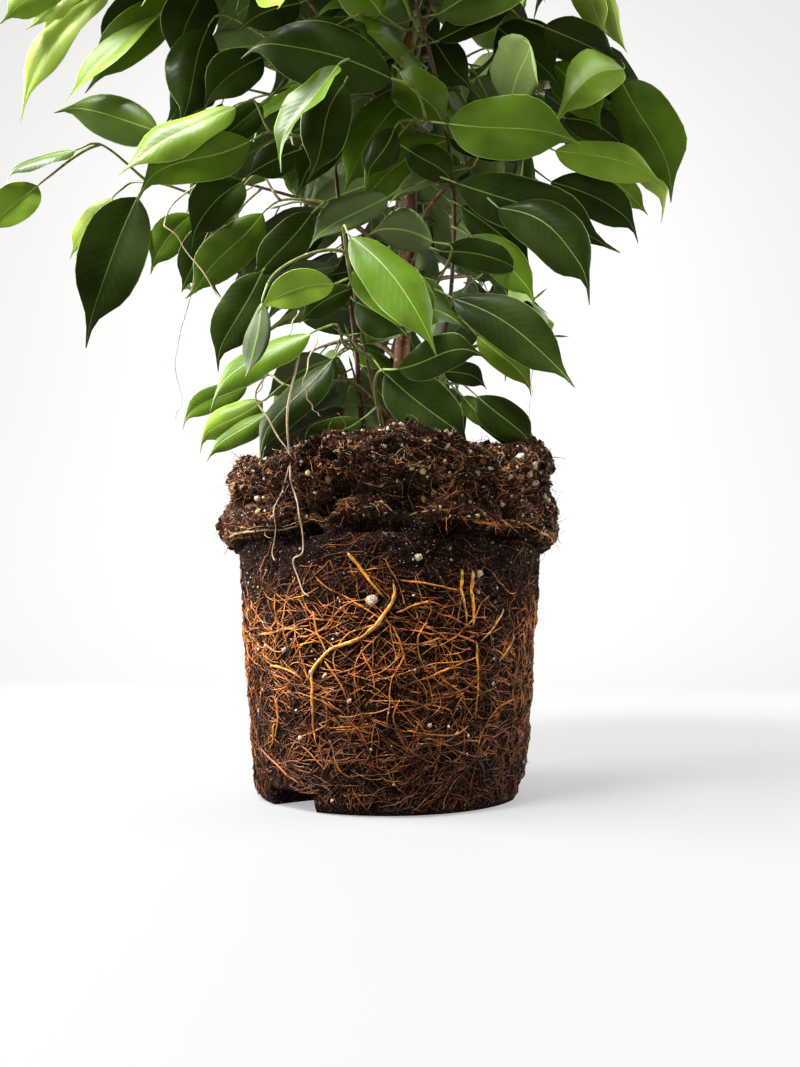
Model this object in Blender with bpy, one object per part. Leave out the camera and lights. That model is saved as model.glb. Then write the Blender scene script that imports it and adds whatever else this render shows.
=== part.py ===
"""A weeping fig sapling lifted out of its nursery pot, standing on its root ball.

The root ball is the cast that the pot left: a tapering body, a ledge and a collar, with drain slots in the foot.
A trunk and three thinner stems rise from its top. Boughs climb the trunk in a spiral, and each ends where it enters
a mass of foliage: a stem with side twigs, whose leaves are fused on. Metres, +Z up, origin under the root ball.
"""

import math
import random
from dataclasses import dataclass

import bmesh
import bpy
from mathutils import Vector, noise
from mathutils.bvhtree import BVHTree

UP = Vector((0, 0, 1))
GAP = 0.0003  # left between solids that touch
CLEARANCE = 0.0006  # a leaf or twig keeps at least this far from a limb
SEED = 211  # of the first mass; each further one adds one

# Root ball
RIM_RADIUS = 0.100  # at the ledge
BODY_RADIUS = 0.0900  # just under the ledge
FOOT_RADIUS = 0.0766
COLLAR_RADIUS = 0.097  # at the shoulder
LEDGE_HEIGHT = 0.142
SHOULDER_HEIGHT = 0.186
SOIL_HEIGHT = 0.200  # the flat patch that the stems stand on
SOIL_PATCH_RADIUS = 0.034
BALL_SIDES = 44
COLLAR_ROUGHNESS = 0.0022  # how far the crumbly collar stands in or out
CAST_ROUGHNESS = 0.0007
TOP_FALL = 0.006  # the top lies this much lower at the left shoulder than at the right
BREAK_AZIMUTH = 260.0  # where the lower collar has crumbled away
BREAK_HALF_WIDTH = 30.0
BREAK_DEPTH = 0.0085
SLOT_COUNT = 3  # drain slots in the foot
FIRST_SLOT_AZIMUTH = 228.0
SLOT_WIDTH = 0.032
SLOT_HEIGHT = 0.009
SLOT_DEPTH = 0.022

# Trunk and stems
TRUNK_RADIUS = 0.0054
TRUNK_TIP_RADIUS = 0.0016
TRUNK_TOP = 0.815
TRUNK_LEAN = 0.014  # the trunk leans this far to the right at mid height
FLARE = 0.55  # the share by which a foot is wider
FLARE_HEIGHT = 0.016
TRUNK_SIDES, TRUNK_STEPS = 8, 12
STEM_SIDES, STEM_STEPS = 6, 6

# Boughs
BOUGH_SIDES, BOUGH_STEPS = 5, 3
BOUGH_COUNT = 25
BOUGH_HEIGHTS = (0.226, 0.735)  # where the first and the last leave the trunk
FIRST_AZIMUTH = 216.0  # degrees round +Z from +X; 270 faces the front
TURN = 137.5  # from each bough to the next one up
RISE_AT_FOOT = (44, 66)  # degrees above the horizon where a bough starts, for the first and the last
RISE_AT_TIP = (12, 44)
BOUGH_SHARE = 0.34  # of the way from the trunk to the crown's outline
BOUGH_SWING = 4.0  # degrees from side to side
BOUGH_RADIUS = 0.0020
BOUGH_TIP_RADIUS = 0.0013

# Masses of foliage
SPREAD_SHARE = 0.54  # of the way to the crown's outline that a mass's own stem covers
STEM_SWING = 5.0
STEM_SEGMENTS = 3
MASS_DROOP = 42.0  # degrees that a mass's stem bends down over its length
SIDE_STEM_DROOP = 70.0
LEADER_DROOP = 20.0
LEADER_SPREAD = 0.080  # length of the stem inside the mass at the trunk's tip
LEADER_AZIMUTH = 250.0
LEAF_LENGTH = 0.092  # from the twig to the tip, stalk and drip tip included
LEAF_WIDTH = 0.037
LEAF_THICKNESS = 0.013  # as a share of the length
LEAF_ARCH = 0.16  # how far the tip bends down, as a share of the length
STALK_DEPTH = 0.0006  # how thick the leaf is at its base
LEAF_OUTLINE = ((0.33, 0.42), (0.64, 0.44))  # shares of the length and of the width
LEAF_TRIES = 60
LEAF_SPACING = 0.016  # along a twig
BARE_TWIG = 0.3  # the share of a side twig before its first leaf
BARE_STEM = 0.2
TWIG_RADIUS = 0.0010
TWIG_TIP_RADIUS = 0.0006
TWIG_SPACING = 0.030  # side twigs along a mass's stem
TWIG_LENGTH = 0.068
TWIG_TRIES = 10
CELL_GAP = 0.0004  # each mass keeps this far inside the faces between it and its neighbours

# The crown's outline
CROWN_TOP = 0.920
CROWN_FOOT = 0.185
# (height above the ground, radius)
CROWN_PROFILE = (
    (0.20, 0.128),
    (0.28, 0.140),
    (0.35, 0.185),
    (0.42, 0.215),
    (0.52, 0.215),
    (0.64, 0.200),
    (0.74, 0.165),
    (0.84, 0.110),
    (0.92, 0.045),
)
FRONT_CUT = 0.36  # the lower crown reaches this much less far towards the front
FRONT_CUT_TOP = 0.54
SIDE_SPRAY = 0.045  # the lower crown reaches this much further to the left
SIDE_SPRAY_AZIMUTH = 182.0
SIDE_SPRAY_HEIGHT = 0.40
SIDE_SPRAY_HALF_HEIGHT = 0.07


@dataclass
class Limb:
    """A tapering limb along a path of points."""

    name: str
    points: list
    radii: list
    sides: int
    first_ring_faces: Vector = None


@dataclass
class Leaf:
    base: Vector
    along: Vector
    face: Vector
    length: float
    width: float


@dataclass
class Mass:
    """A mass of foliage: the path of its stem, and the middle of the space that it keeps to."""

    name: str
    stem: list
    centre: Vector


# ---------------------------------------------------------------- paths


def heading(azimuth, rise):
    """The unit vector at that azimuth round +Z from +X, and that rise above the horizon, in degrees."""
    a, e = math.radians(azimuth), math.radians(rise)
    return Vector((math.cos(a) * math.cos(e), math.sin(a) * math.cos(e), math.sin(e)))


def arched_path(start, azimuth, rise, length, steps, swing):
    """Points along an arch whose rise goes evenly from rise[0] to rise[1]; swing turns it from side to side."""
    points = [start.copy()]
    for step in range(steps):
        share = (step + 0.5) / steps
        bend = rise[0] + (rise[1] - rise[0]) * share
        turn = swing * (1 if step % 2 else -1)
        points.append(points[-1] + heading(azimuth + turn, bend) * (length / steps))
    return points


def between(table, value):
    """Linear interpolation in rows of (value, result)."""
    for (low, at_low), (high, at_high) in zip(table, table[1:]):
        if value <= high:
            share = max(0.0, (value - low) / (high - low))
            return at_low + (at_high - at_low) * share
    return table[-1][1]


def point_at_height(points, height):
    for a, b in zip(points, points[1:]):
        if a.z <= height <= b.z:
            return a.lerp(b, (height - a.z) / (b.z - a.z))
    return points[-1].copy()


# ---------------------------------------------------------------- meshes


def tube_rings(limb, extra=0.0):
    """A ring of points round each point of the path, square to it; extra widens every ring."""
    overall = (limb.points[-1] - limb.points[0]).normalized()
    reference = Vector((0, 1, 0)) if abs(overall.z) > 0.9 else UP
    rings = []
    for i, point in enumerate(limb.points):
        before = limb.points[max(i - 1, 0)]
        after = limb.points[min(i + 1, len(limb.points) - 1)]
        tangent = (after - before).normalized()
        if i == 0 and limb.first_ring_faces is not None:
            tangent = limb.first_ring_faces
        side = tangent.cross(reference).normalized()
        other = tangent.cross(side)
        ring = []
        for k in range(limb.sides):
            angle = math.tau * k / limb.sides
            out = side * math.cos(angle) + other * math.sin(angle)
            ring.append(point + out * (limb.radii[i] + extra))
        rings.append(ring)
    return rings


def closed_tube(rings):
    """Points and faces of a tube through the rings, closed by a face at each end."""
    sides = len(rings[0])
    points = [p for ring in rings for p in ring]
    faces = []
    for i in range(len(rings) - 1):
        for k in range(sides):
            a, b = i * sides + k, i * sides + (k + 1) % sides
            faces.append((a, b, b + sides, a + sides))
    faces.append(tuple(reversed(range(sides))))
    faces.append(tuple(range((len(rings) - 1) * sides, len(rings) * sides)))
    return points, faces


def leaf_solid(leaf):
    """A pointed leaf with an arched rib: an edge as deep as its stalk at the base, a point at the tip, two points
    down each side, and one raised on its face."""
    across = leaf.face.cross(leaf.along).normalized()

    def place(share, side, lift):
        sag = LEAF_ARCH * share * share * leaf.length - lift
        return (
            leaf.base
            + leaf.along * (leaf.length * share)
            + across * (leaf.width * side)
            - leaf.face * sag
        )

    (near, near_side), (far, far_side) = LEAF_OUTLINE
    points = [
        place(near, -near_side, 0),
        place(far, -far_side, 0),
        place(1, 0, 0),
        place(far, far_side, 0),
        place(near, near_side, 0),
        place(0, 0, STALK_DEPTH),
        place(0, 0, 0),
        place((near + far) / 2, 0, LEAF_THICKNESS * leaf.length),
    ]
    base, under, face = 5, 6, 7
    faces = [(under, 0, base), (4, under, base)]
    faces += [(a, b, face) for a, b in ((base, 0), (0, 1), (1, 2), (2, 3), (3, 4), (4, base))]
    faces += [(0, under, 4), (1, 0, 4), (1, 4, 3), (2, 1, 3)]
    return points, faces


def mesh_object(name, solid, material=None, collection=None):
    points, faces = solid
    mesh = bpy.data.meshes.new(name)
    mesh.from_pydata([tuple(p) for p in points], [], faces)
    if material is not None:
        mesh.materials.append(material)
    obj = bpy.data.objects.new(name, mesh)
    (collection or bpy.context.scene.collection).objects.link(obj)
    return obj


def principled(name, colour, roughness):
    material = bpy.data.materials.new(name)
    material.use_nodes = True
    shader = material.node_tree.nodes["Principled BSDF"]
    shader.inputs["Base Color"].default_value = (*colour, 1)
    shader.inputs["Roughness"].default_value = roughness
    shader.inputs["Metallic"].default_value = 0.0
    return material


# ---------------------------------------------------------------- root ball


def angle_from(azimuth, centre):
    """How far an azimuth is from another, from -180 to 180 degrees."""
    return (azimuth - centre + 180) % 360 - 180


def ball_rings():
    """(height, radius, roughness, share of the break) from the foot to the edge of the soil patch."""
    body = RIM_RADIUS - BODY_RADIUS
    collar = SHOULDER_HEIGHT - LEDGE_HEIGHT
    return (
        (0.0, FOOT_RADIUS - 0.003, 0.0, 0.0),
        (0.004, FOOT_RADIUS, 0.3, 0.0),
        (LEDGE_HEIGHT * 0.25, FOOT_RADIUS + (BODY_RADIUS - FOOT_RADIUS) * 0.25, 1.0, 0.0),
        (LEDGE_HEIGHT * 0.50, FOOT_RADIUS + (BODY_RADIUS - FOOT_RADIUS) * 0.50, 1.0, 0.0),
        (LEDGE_HEIGHT * 0.75, FOOT_RADIUS + (BODY_RADIUS - FOOT_RADIUS) * 0.75, 1.0, 0.0),
        (LEDGE_HEIGHT - 0.003, BODY_RADIUS, 1.0, 0.1),
        (LEDGE_HEIGHT - 0.001, RIM_RADIUS - body * 0.25, 1.0, 1.0),
        (LEDGE_HEIGHT + 0.003, RIM_RADIUS, 2.0, 1.0),
        (LEDGE_HEIGHT + collar * 0.35, RIM_RADIUS - 0.0015, 3.0, 0.9),
        (LEDGE_HEIGHT + collar * 0.70, COLLAR_RADIUS, 3.0, 0.15),
        (SHOULDER_HEIGHT, COLLAR_RADIUS - 0.001, 3.0, 0.0),
        (SHOULDER_HEIGHT + 0.006, COLLAR_RADIUS - 0.007, 3.0, 0.0),
        (SHOULDER_HEIGHT + 0.009, COLLAR_RADIUS - 0.026, 2.0, 0.0),
        (SOIL_HEIGHT, SOIL_PATCH_RADIUS, 0.0, 0.0),
    )


def ball_mesh(extra=0.0):
    """Points and faces of the root ball; extra makes it larger all round, for the test that keeps leaves clear."""
    rings = []
    for height, radius, roughness, broken in ball_rings():
        ring = []
        for k in range(BALL_SIDES):
            azimuth = 360 * k / BALL_SIDES
            out = heading(azimuth, 0)
            lumps = noise.noise(Vector((out.x, out.y, height * 14)) * 3.1)
            lumps += 0.5 * noise.noise(Vector((out.x, out.y, height * 14)) * 8.3)
            amount = CAST_ROUGHNESS if roughness <= 1 else COLLAR_ROUGHNESS / 3
            from_break = angle_from(azimuth, BREAK_AZIMUTH) / BREAK_HALF_WIDTH
            bite = BREAK_DEPTH * broken * math.exp(-from_break * from_break)
            place = radius + lumps * amount * roughness - bite + extra
            fall = 0.0
            if height > LEDGE_HEIGHT + 0.01 and roughness:
                fall = TOP_FALL * 0.5 * (1 - out.x) * min(1.0, (height - LEDGE_HEIGHT) / 0.044)
            ring.append(out * place + UP * (height - fall))
        rings.append(ring)
    for point in rings[-1]:
        point.z += extra
    return closed_tube(rings)


def drain_slot(azimuth):
    """A cutter for one drain slot: a block that reaches SLOT_DEPTH into the foot from outside."""
    inner, outer = FOOT_RADIUS - SLOT_DEPTH, FOOT_RADIUS + 0.02
    out, side = heading(azimuth, 0), heading(azimuth + 90, 0)
    points = []
    for height, half in ((-0.01, SLOT_WIDTH / 2), (SLOT_HEIGHT, SLOT_WIDTH / 2 - 0.002)):
        for reach, turn in ((inner, -1), (outer, -1), (outer, 1), (inner, 1)):
            points.append(out * reach + side * (half * turn) + UP * height)
    faces = [(3, 2, 1, 0), (4, 5, 6, 7), (0, 1, 5, 4), (1, 2, 6, 5), (2, 3, 7, 6), (3, 0, 4, 7)]
    return mesh_object("drain_slot_cutter", (points, faces))


def apply_modifiers(obj):
    graph = bpy.context.evaluated_depsgraph_get()
    made = bpy.data.meshes.new_from_object(obj.evaluated_get(graph))
    obj.modifiers.clear()
    obj.data = made


def make_root_ball(material):
    ball = mesh_object("root_ball", ball_mesh(), material)
    for number in range(SLOT_COUNT):
        cutter = drain_slot(FIRST_SLOT_AZIMUTH + 360 / SLOT_COUNT * number)
        cut = ball.modifiers.new("Drain slot", "BOOLEAN")
        cut.operation = "DIFFERENCE"
        cut.object = cutter
        apply_modifiers(ball)
        bpy.data.objects.remove(cutter)


# ---------------------------------------------------------------- limbs


def flared(radius, tip_radius, foot, height, top):
    """A limb's radius at a height: an even taper, and a flare just above the foot."""
    taper = radius + (tip_radius - radius) * (height - foot) / (top - foot)
    return taper * (1 + FLARE * math.exp(-(height - foot) / FLARE_HEIGHT))


def trunk_limb():
    """The main trunk: it leans a little to the right, then comes back over its foot."""
    foot = SOIL_HEIGHT + GAP
    points, radii = [], []
    for i in range(TRUNK_STEPS + 1):
        share = (i / TRUNK_STEPS) ** 1.25
        height = foot + (TRUNK_TOP - foot) * share
        lean = TRUNK_LEAN * math.sin(math.pi * min(1.0, share * 1.15)) + 0.002 * math.sin(9 * share)
        back = 0.006 + 0.004 * math.sin(5 * share)
        points.append(Vector((lean, back, height)))
        radii.append(flared(TRUNK_RADIUS, TRUNK_TIP_RADIUS, foot, height, TRUNK_TOP))
    return Limb("trunk", points, radii, TRUNK_SIDES, UP)


@dataclass
class Stem:
    """A thinner stem from the same root: where it stands, where it ends, and how far it bows out between."""

    name: str
    foot: tuple
    tip: tuple
    bow: tuple
    radius: float
    tip_radius: float
    spread: float


STEMS = (
    Stem("front_stem", (-0.003, -0.020), (-0.026, -0.052, 0.318), (-0.004, 0.002), 0.0014, 0.0012, 0.060),
    Stem("right_stem", (0.018, -0.014), (0.012, -0.062, 0.470), (0.022, -0.010), 0.0019, 0.0013, 0.085),
    Stem("left_stem", (-0.016, 0.012), (-0.056, 0.022, 0.560), (-0.004, 0.000), 0.0023, 0.0013, 0.095),
)


def stem_limb(stem):
    foot = SOIL_HEIGHT + GAP
    points, radii = [], []
    for i in range(STEM_STEPS + 1):
        share = i / STEM_STEPS
        bow = math.sin(math.pi * share)
        x = stem.foot[0] + (stem.tip[0] - stem.foot[0]) * share ** 1.4 + stem.bow[0] * bow
        y = stem.foot[1] + (stem.tip[1] - stem.foot[1]) * share ** 1.4 + stem.bow[1] * bow
        height = foot + (stem.tip[2] - foot) * share
        points.append(Vector((x, y, height)))
        radii.append(flared(stem.radius, stem.tip_radius, foot, height, stem.tip[2]))
    return Limb(stem.name, points, radii, STEM_SIDES, UP)


def lowness(height):
    """1 in the lower crown, fading to 0 where the crown is full all round."""
    return min(1.0, max(0.0, (FRONT_CUT_TOP - height) / 0.12))


def frontness(azimuth):
    return max(0.0, math.cos(math.radians(angle_from(azimuth, 270))))


def crown_radius(height, azimuth):
    """How far the crown's outline lies from the axis at a height and azimuth."""
    radius = between(CROWN_PROFILE, height)
    radius *= 1 - FRONT_CUT * lowness(height) * frontness(azimuth) ** 1.5
    near_spray = (height - SIDE_SPRAY_HEIGHT) / SIDE_SPRAY_HALF_HEIGHT
    leftness = max(0.0, math.cos(math.radians(angle_from(azimuth, SIDE_SPRAY_AZIMUTH)))) ** 6
    return radius + SIDE_SPRAY * leftness * math.exp(-near_spray * near_spray)


@dataclass
class Bough:
    name: str
    height: float
    azimuth: float
    rise: tuple
    reach: float  # from the trunk to the crown's outline


def boughs():
    """The boughs climb the trunk in a spiral, each a golden angle round from the last."""
    made = []
    low, high = BOUGH_HEIGHTS
    for number in range(BOUGH_COUNT):
        share = number / (BOUGH_COUNT - 1)
        height = low + (high - low) * share
        azimuth = (FIRST_AZIMUTH + TURN * number) % 360
        rise = tuple(a + (b - a) * share for a, b in (RISE_AT_FOOT, RISE_AT_TIP))
        reach = crown_radius(height + 0.05, azimuth)
        made.append(Bough(f"bough_{number + 1:02d}", height, azimuth, rise, reach))
    return made


def bough_limb(bough, trunk):
    """One bough. Its flat foot faces the trunk and stays clear of it."""
    axis = point_at_height(trunk.points, bough.height)
    trunk_radius = flared(TRUNK_RADIUS, TRUNK_TIP_RADIUS, SOIL_HEIGHT, bough.height - 0.01, TRUNK_TOP)
    start = axis + heading(bough.azimuth, 0) * (trunk_radius + 2 * GAP)
    length = bough.reach * BOUGH_SHARE
    points = arched_path(start, bough.azimuth, bough.rise, length, BOUGH_STEPS, BOUGH_SWING)
    radii = []
    for i in range(len(points)):
        radii.append(BOUGH_RADIUS + (BOUGH_TIP_RADIUS - BOUGH_RADIUS) * i / BOUGH_STEPS)
    return Limb(bough.name, points, radii, BOUGH_SIDES, heading(bough.azimuth, 0))


# ---------------------------------------------------------------- foliage


class Space:
    """The space of one mass: the points nearer its centre than any other's, inside the crown's outline."""

    def __init__(self, mass, masses):
        self.faces = []
        for other in masses:
            if other is not mass:
                normal = (other.centre - mass.centre).normalized()
                self.faces.append(((mass.centre + other.centre) / 2 - normal * CELL_GAP, normal))

    def holds(self, points):
        for point in points:
            if not CROWN_FOOT < point.z < CROWN_TOP:
                return False
            azimuth = math.degrees(math.atan2(point.y, point.x))
            if math.hypot(point.x, point.y) > crown_radius(point.z, azimuth):
                return False
            for on_face, normal in self.faces:
                if (point - on_face).dot(normal) > 0:
                    return False
        return True


def tree_of(solid):
    points, faces = solid
    return BVHTree.FromPolygons(points, faces)


def twig_limb(points, radius):
    count = len(points) - 1
    radii = [radius + (TWIG_TIP_RADIUS - radius) * i / count for i in range(count + 1)]
    return Limb("twig", points, radii, 3)


def outward_from_trunk(point):
    out = Vector((point.x, point.y, 0))
    return out.normalized() if out.length > 1e-4 else Vector((0, -1, 0))


def aimed_leaf(rng, base, twig_direction, side, attempt):
    """A leaf off a twig: it hangs out and down, with its face outwards. Later attempts stray further."""
    stray = min(1.0, 0.2 + attempt * 0.03)
    across = twig_direction.cross(UP)
    across = across.normalized() if across.length > 1e-3 else Vector((1, 0, 0))
    out = outward_from_trunk(base)
    loose = Vector((rng.uniform(-1, 1), rng.uniform(-1, 1), rng.uniform(-0.6, 0.6)))
    hang = rng.uniform(0.25, 1.15)
    along = twig_direction * 0.45 + out * 0.15 + across * (side * 0.7) - UP * hang + loose * stray
    along.normalize()
    wish = UP * 0.45 + out * 0.9
    wish += Vector((rng.uniform(-1, 1), rng.uniform(-1, 1), rng.uniform(-0.3, 0.3))) * 0.4
    face = wish - along * wish.dot(along)
    if face.length < 0.2:
        face = UP - along * along.z
    shrink = 1.0 - 0.007 * max(0, attempt - 10)
    length = LEAF_LENGTH * rng.uniform(0.82, 1.04) * shrink
    return Leaf(base, along, face.normalized(), length, LEAF_WIDTH * rng.uniform(0.88, 1.12) * shrink)


class Foliage:
    """Grows one mass: side twigs in turn along its stem, then leaves in turn along them all."""

    def __init__(self, mass, space, obstacles, rng):
        self.mass, self.space, self.obstacles, self.rng = mass, space, obstacles, rng
        self.twigs, self.twig_trees = [], []
        self.leaves, self.leaf_trees = [], []
        if not self.add_twig(mass.stem, BOUGH_TIP_RADIUS, None):
            raise ValueError(f"The stem of {mass.name} leaves its space: move its bough or a neighbour's")

    def fits(self, solid, own_twig):
        """True where the solid keeps to the space and clear of all but the twig that it springs from."""
        if not self.space.holds(solid[0]):
            return False
        tree = tree_of(solid)
        near = self.obstacles + self.leaf_trees
        near += [other for twig, other in enumerate(self.twig_trees) if twig != own_twig]
        return not any(tree.overlap(other) for other in near)

    def add_twig(self, points, radius, own_twig):
        twig = twig_limb(points, radius)
        solid = closed_tube(tube_rings(twig))
        if own_twig is not None and not self.fits(solid, own_twig):
            return False
        if own_twig is None and not self.space.holds(solid[0]):
            return False
        self.twigs.append(twig)
        self.twig_trees.append(tree_of(solid))
        return True

    def add_side_twig(self, base, direction, side):
        across = direction.cross(UP).normalized()
        for attempt in range(TWIG_TRIES):
            aim = direction * 0.65 + across * (side * self.rng.uniform(0.4, 1.0))
            aim += UP * self.rng.uniform(-0.45, 0.55)
            aim.normalize()
            length = TWIG_LENGTH * self.rng.uniform(0.75, 1.1) * (1 - 0.05 * attempt)
            middle = base + aim * (length * 0.5)
            aim = (aim - UP * 0.3).normalized()
            if self.add_twig([base, middle, middle + aim * (length * 0.5)], TWIG_RADIUS, 0):
                return

    def add_leaf(self, base, direction, side, own_twig):
        for attempt in range(LEAF_TRIES):
            leaf = aimed_leaf(self.rng, base, direction, side, attempt)
            solid = leaf_solid(leaf)
            if self.fits(solid, own_twig):
                self.leaves.append(leaf)
                self.leaf_trees.append(tree_of(solid))
                return

    def add_leaves_along(self, own_twig, first):
        """Leaves in turn on either side of a twig, from a share of its length to its tip, and one at the tip."""
        points = self.twigs[own_twig].points
        lengths = [(b - a).length for a, b in zip(points, points[1:])]
        total = sum(lengths)
        along, side = total * first, self.rng.choice((-1, 1))
        while along < total:
            rest, segment = along, 0
            while rest > lengths[segment]:
                rest -= lengths[segment]
                segment += 1
            direction = (points[segment + 1] - points[segment]).normalized()
            self.add_leaf(points[segment] + direction * rest, direction, side, own_twig)
            side = -side
            along += LEAF_SPACING * self.rng.uniform(0.85, 1.15)
        direction = (points[-1] - points[-2]).normalized()
        self.add_leaf(points[-1] - direction * (TWIG_RADIUS * 1.5), direction, 0, own_twig)

    def grow(self):
        stem = self.mass.stem
        side = 1
        for a, b in zip(stem, stem[1:]):
            direction = (b - a).normalized()
            count = max(1, round((b - a).length / TWIG_SPACING))
            for k in range(count):
                self.add_side_twig(a.lerp(b, (k + 0.6) / count), direction, side)
                side = -side
        for own_twig in range(1, len(self.twigs)):
            self.add_leaves_along(own_twig, BARE_TWIG)
        self.add_leaves_along(0, BARE_STEM)
        return self

    def solids(self):
        made = [closed_tube(tube_rings(twig)) for twig in self.twigs]
        return made + [leaf_solid(leaf) for leaf in self.leaves]


def keep_largest_body(mesh):
    """Drops the loose scraps and the sealed hollows that a union can leave."""
    work = bmesh.new()
    work.from_mesh(mesh)
    bmesh.ops.remove_doubles(work, verts=work.verts, dist=1e-6)
    bmesh.ops.triangulate(work, faces=work.faces)
    bmesh.ops.dissolve_degenerate(work, edges=work.edges, dist=1e-6)
    unseen, bodies = set(work.verts), []
    while unseen:
        body, edge_of = [], [unseen.pop()]
        while edge_of:
            vertex = edge_of.pop()
            body.append(vertex)
            for edge in vertex.link_edges:
                neighbour = edge.other_vert(vertex)
                if neighbour in unseen:
                    unseen.remove(neighbour)
                    edge_of.append(neighbour)
        bodies.append(body)
    bodies.sort(key=len)
    spare = [vertex for body in bodies[:-1] for vertex in body]
    bmesh.ops.delete(work, geom=spare, context="VERTS")
    work.to_mesh(mesh)
    work.free()


def joined_mass(foliage, material):
    """One solid from a mass's twigs and leaves, by a Boolean union on a collection."""
    solids = foliage.solids()
    obj = mesh_object(foliage.mass.name, solids[0], material)
    pieces = bpy.data.collections.new(foliage.mass.name + "_pieces")
    bpy.context.scene.collection.children.link(pieces)
    for number, solid in enumerate(solids[1:]):
        mesh_object(f"{foliage.mass.name}_piece_{number}", solid, collection=pieces)
    join = obj.modifiers.new("Join", "BOOLEAN")
    join.operation = "UNION"
    join.operand_type = "COLLECTION"
    join.collection = pieces
    join.solver = "EXACT"
    apply_modifiers(obj)
    for piece in list(pieces.objects):
        bpy.data.objects.remove(piece)
    bpy.data.collections.remove(pieces)
    keep_largest_body(obj.data)


def mass_from(name, limb, spread, azimuth, droop):
    """The mass that a limb ends in: its stem starts just clear of the limb's tip and droops as it goes."""
    tip = limb.points[-1]
    direction = (tip - limb.points[-2]).normalized()
    rise = math.degrees(math.asin(direction.z))
    start = tip + direction * GAP
    stem = arched_path(start, azimuth, (rise, rise - droop), spread, STEM_SEGMENTS, STEM_SWING)
    return Mass(name, stem, stem[0].lerp(stem[-1], 0.55))


def azimuth_of(direction):
    return math.degrees(math.atan2(direction.y, direction.x))


def main():
    for obj in list(bpy.data.objects):
        bpy.data.objects.remove(obj)
    bark = principled("bark", (0.20, 0.10, 0.055), 0.75)
    green_bark = principled("young_bark", (0.16, 0.13, 0.05), 0.65)
    soil = principled("soil", (0.055, 0.028, 0.016), 0.95)
    leaf_green = principled("leaf", (0.06, 0.17, 0.025), 0.38)

    make_root_ball(soil)
    trunk = trunk_limb()
    limbs, masses = [trunk], []
    for stem in STEMS:
        limb = stem_limb(stem)
        limbs.append(limb)
        azimuth = azimuth_of(limb.points[-1] - limb.points[-3])
        masses.append(mass_from(stem.name + "_foliage", limb, stem.spread, azimuth, SIDE_STEM_DROOP))
    for bough in boughs():
        limb = bough_limb(bough, trunk)
        limbs.append(limb)
        name = bough.name.replace("bough", "foliage")
        masses.append(mass_from(name, limb, bough.reach * SPREAD_SHARE, bough.azimuth, MASS_DROOP))
    masses.append(mass_from("leader_foliage", trunk, LEADER_SPREAD, LEADER_AZIMUTH, LEADER_DROOP))

    for limb in limbs:
        material = bark if limb.sides != BOUGH_SIDES else green_bark
        mesh_object(limb.name, closed_tube(tube_rings(limb)), material)

    obstacles = [tree_of(closed_tube(tube_rings(limb, CLEARANCE))) for limb in limbs]
    obstacles.append(tree_of(ball_mesh(CLEARANCE)))
    for number, mass in enumerate(masses):
        rng = random.Random(SEED + number)
        foliage = Foliage(mass, Space(mass, masses), obstacles, rng).grow()
        joined_mass(foliage, leaf_green)


main()
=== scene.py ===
"""Dresses a weeping fig sapling, lifted out of its nursery pot, around its packed frame.

The root ball gets a skin of peat, a mat of fine roots, grains and fibres. Trunk, stems and boughs get bark.
Each mass of foliage grows again by the frame's rule and draws, and on to finer twigs and more leaves.
Metres, +Z up, origin under the root ball.
"""

import math
import random
from dataclasses import dataclass
from functools import lru_cache
from itertools import combinations

import bmesh
import bpy
import numpy as np
from bpy.props import FloatProperty, FloatVectorProperty, IntProperty, PointerProperty
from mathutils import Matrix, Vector, noise
from mathutils.bvhtree import BVHTree


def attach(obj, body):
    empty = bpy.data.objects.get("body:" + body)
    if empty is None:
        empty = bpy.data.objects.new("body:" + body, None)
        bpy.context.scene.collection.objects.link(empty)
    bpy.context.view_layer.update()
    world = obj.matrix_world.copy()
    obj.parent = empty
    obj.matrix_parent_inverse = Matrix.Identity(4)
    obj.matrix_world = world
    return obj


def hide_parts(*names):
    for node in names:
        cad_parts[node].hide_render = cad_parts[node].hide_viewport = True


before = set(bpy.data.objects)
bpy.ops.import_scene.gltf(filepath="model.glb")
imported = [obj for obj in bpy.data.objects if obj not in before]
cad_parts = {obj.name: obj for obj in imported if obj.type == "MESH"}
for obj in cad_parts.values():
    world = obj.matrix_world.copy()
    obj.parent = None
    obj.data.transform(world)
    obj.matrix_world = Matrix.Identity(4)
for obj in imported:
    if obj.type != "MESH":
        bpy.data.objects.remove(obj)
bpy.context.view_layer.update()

bl_info = {
    "name": "Weeping Fig Sapling",
    "version": (1, 0, 0),
    "blender": (4, 5, 0),
    "location": "View3D > Sidebar > Sapling",
    "description": "Dresses a sapling on its root ball: peat, roots, bark, twigs and leaves",
    "category": "Object",
}

UP = Vector((0, 0, 1))
SEED = 211  # of the first mass's growth; each further mass adds one
MM = 0.001
MAT_SEED, CRUMB_SEED, LEAF_SEED = 41, 77, 9

# Root ball, as in the frame
RIM_RADIUS = 0.100
BODY_RADIUS = 0.0900
FOOT_RADIUS = 0.0766
COLLAR_RADIUS = 0.097
LEDGE_HEIGHT = 0.142
SHOULDER_HEIGHT = 0.186
SOIL_HEIGHT = 0.200
SOIL_PATCH_RADIUS = 0.034
BALL_SIDES = 44
COLLAR_ROUGHNESS = 0.0022
CAST_ROUGHNESS = 0.0007
TOP_FALL = 0.006
BREAK_AZIMUTH = 260.0
BREAK_HALF_WIDTH = 30.0
BREAK_DEPTH = 0.0085
SLOT_COUNT = 3
FIRST_SLOT_AZIMUTH = 228.0
SLOT_WIDTH = 0.032
SLOT_HEIGHT = 0.009
SLOT_DEPTH = 0.022

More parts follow.
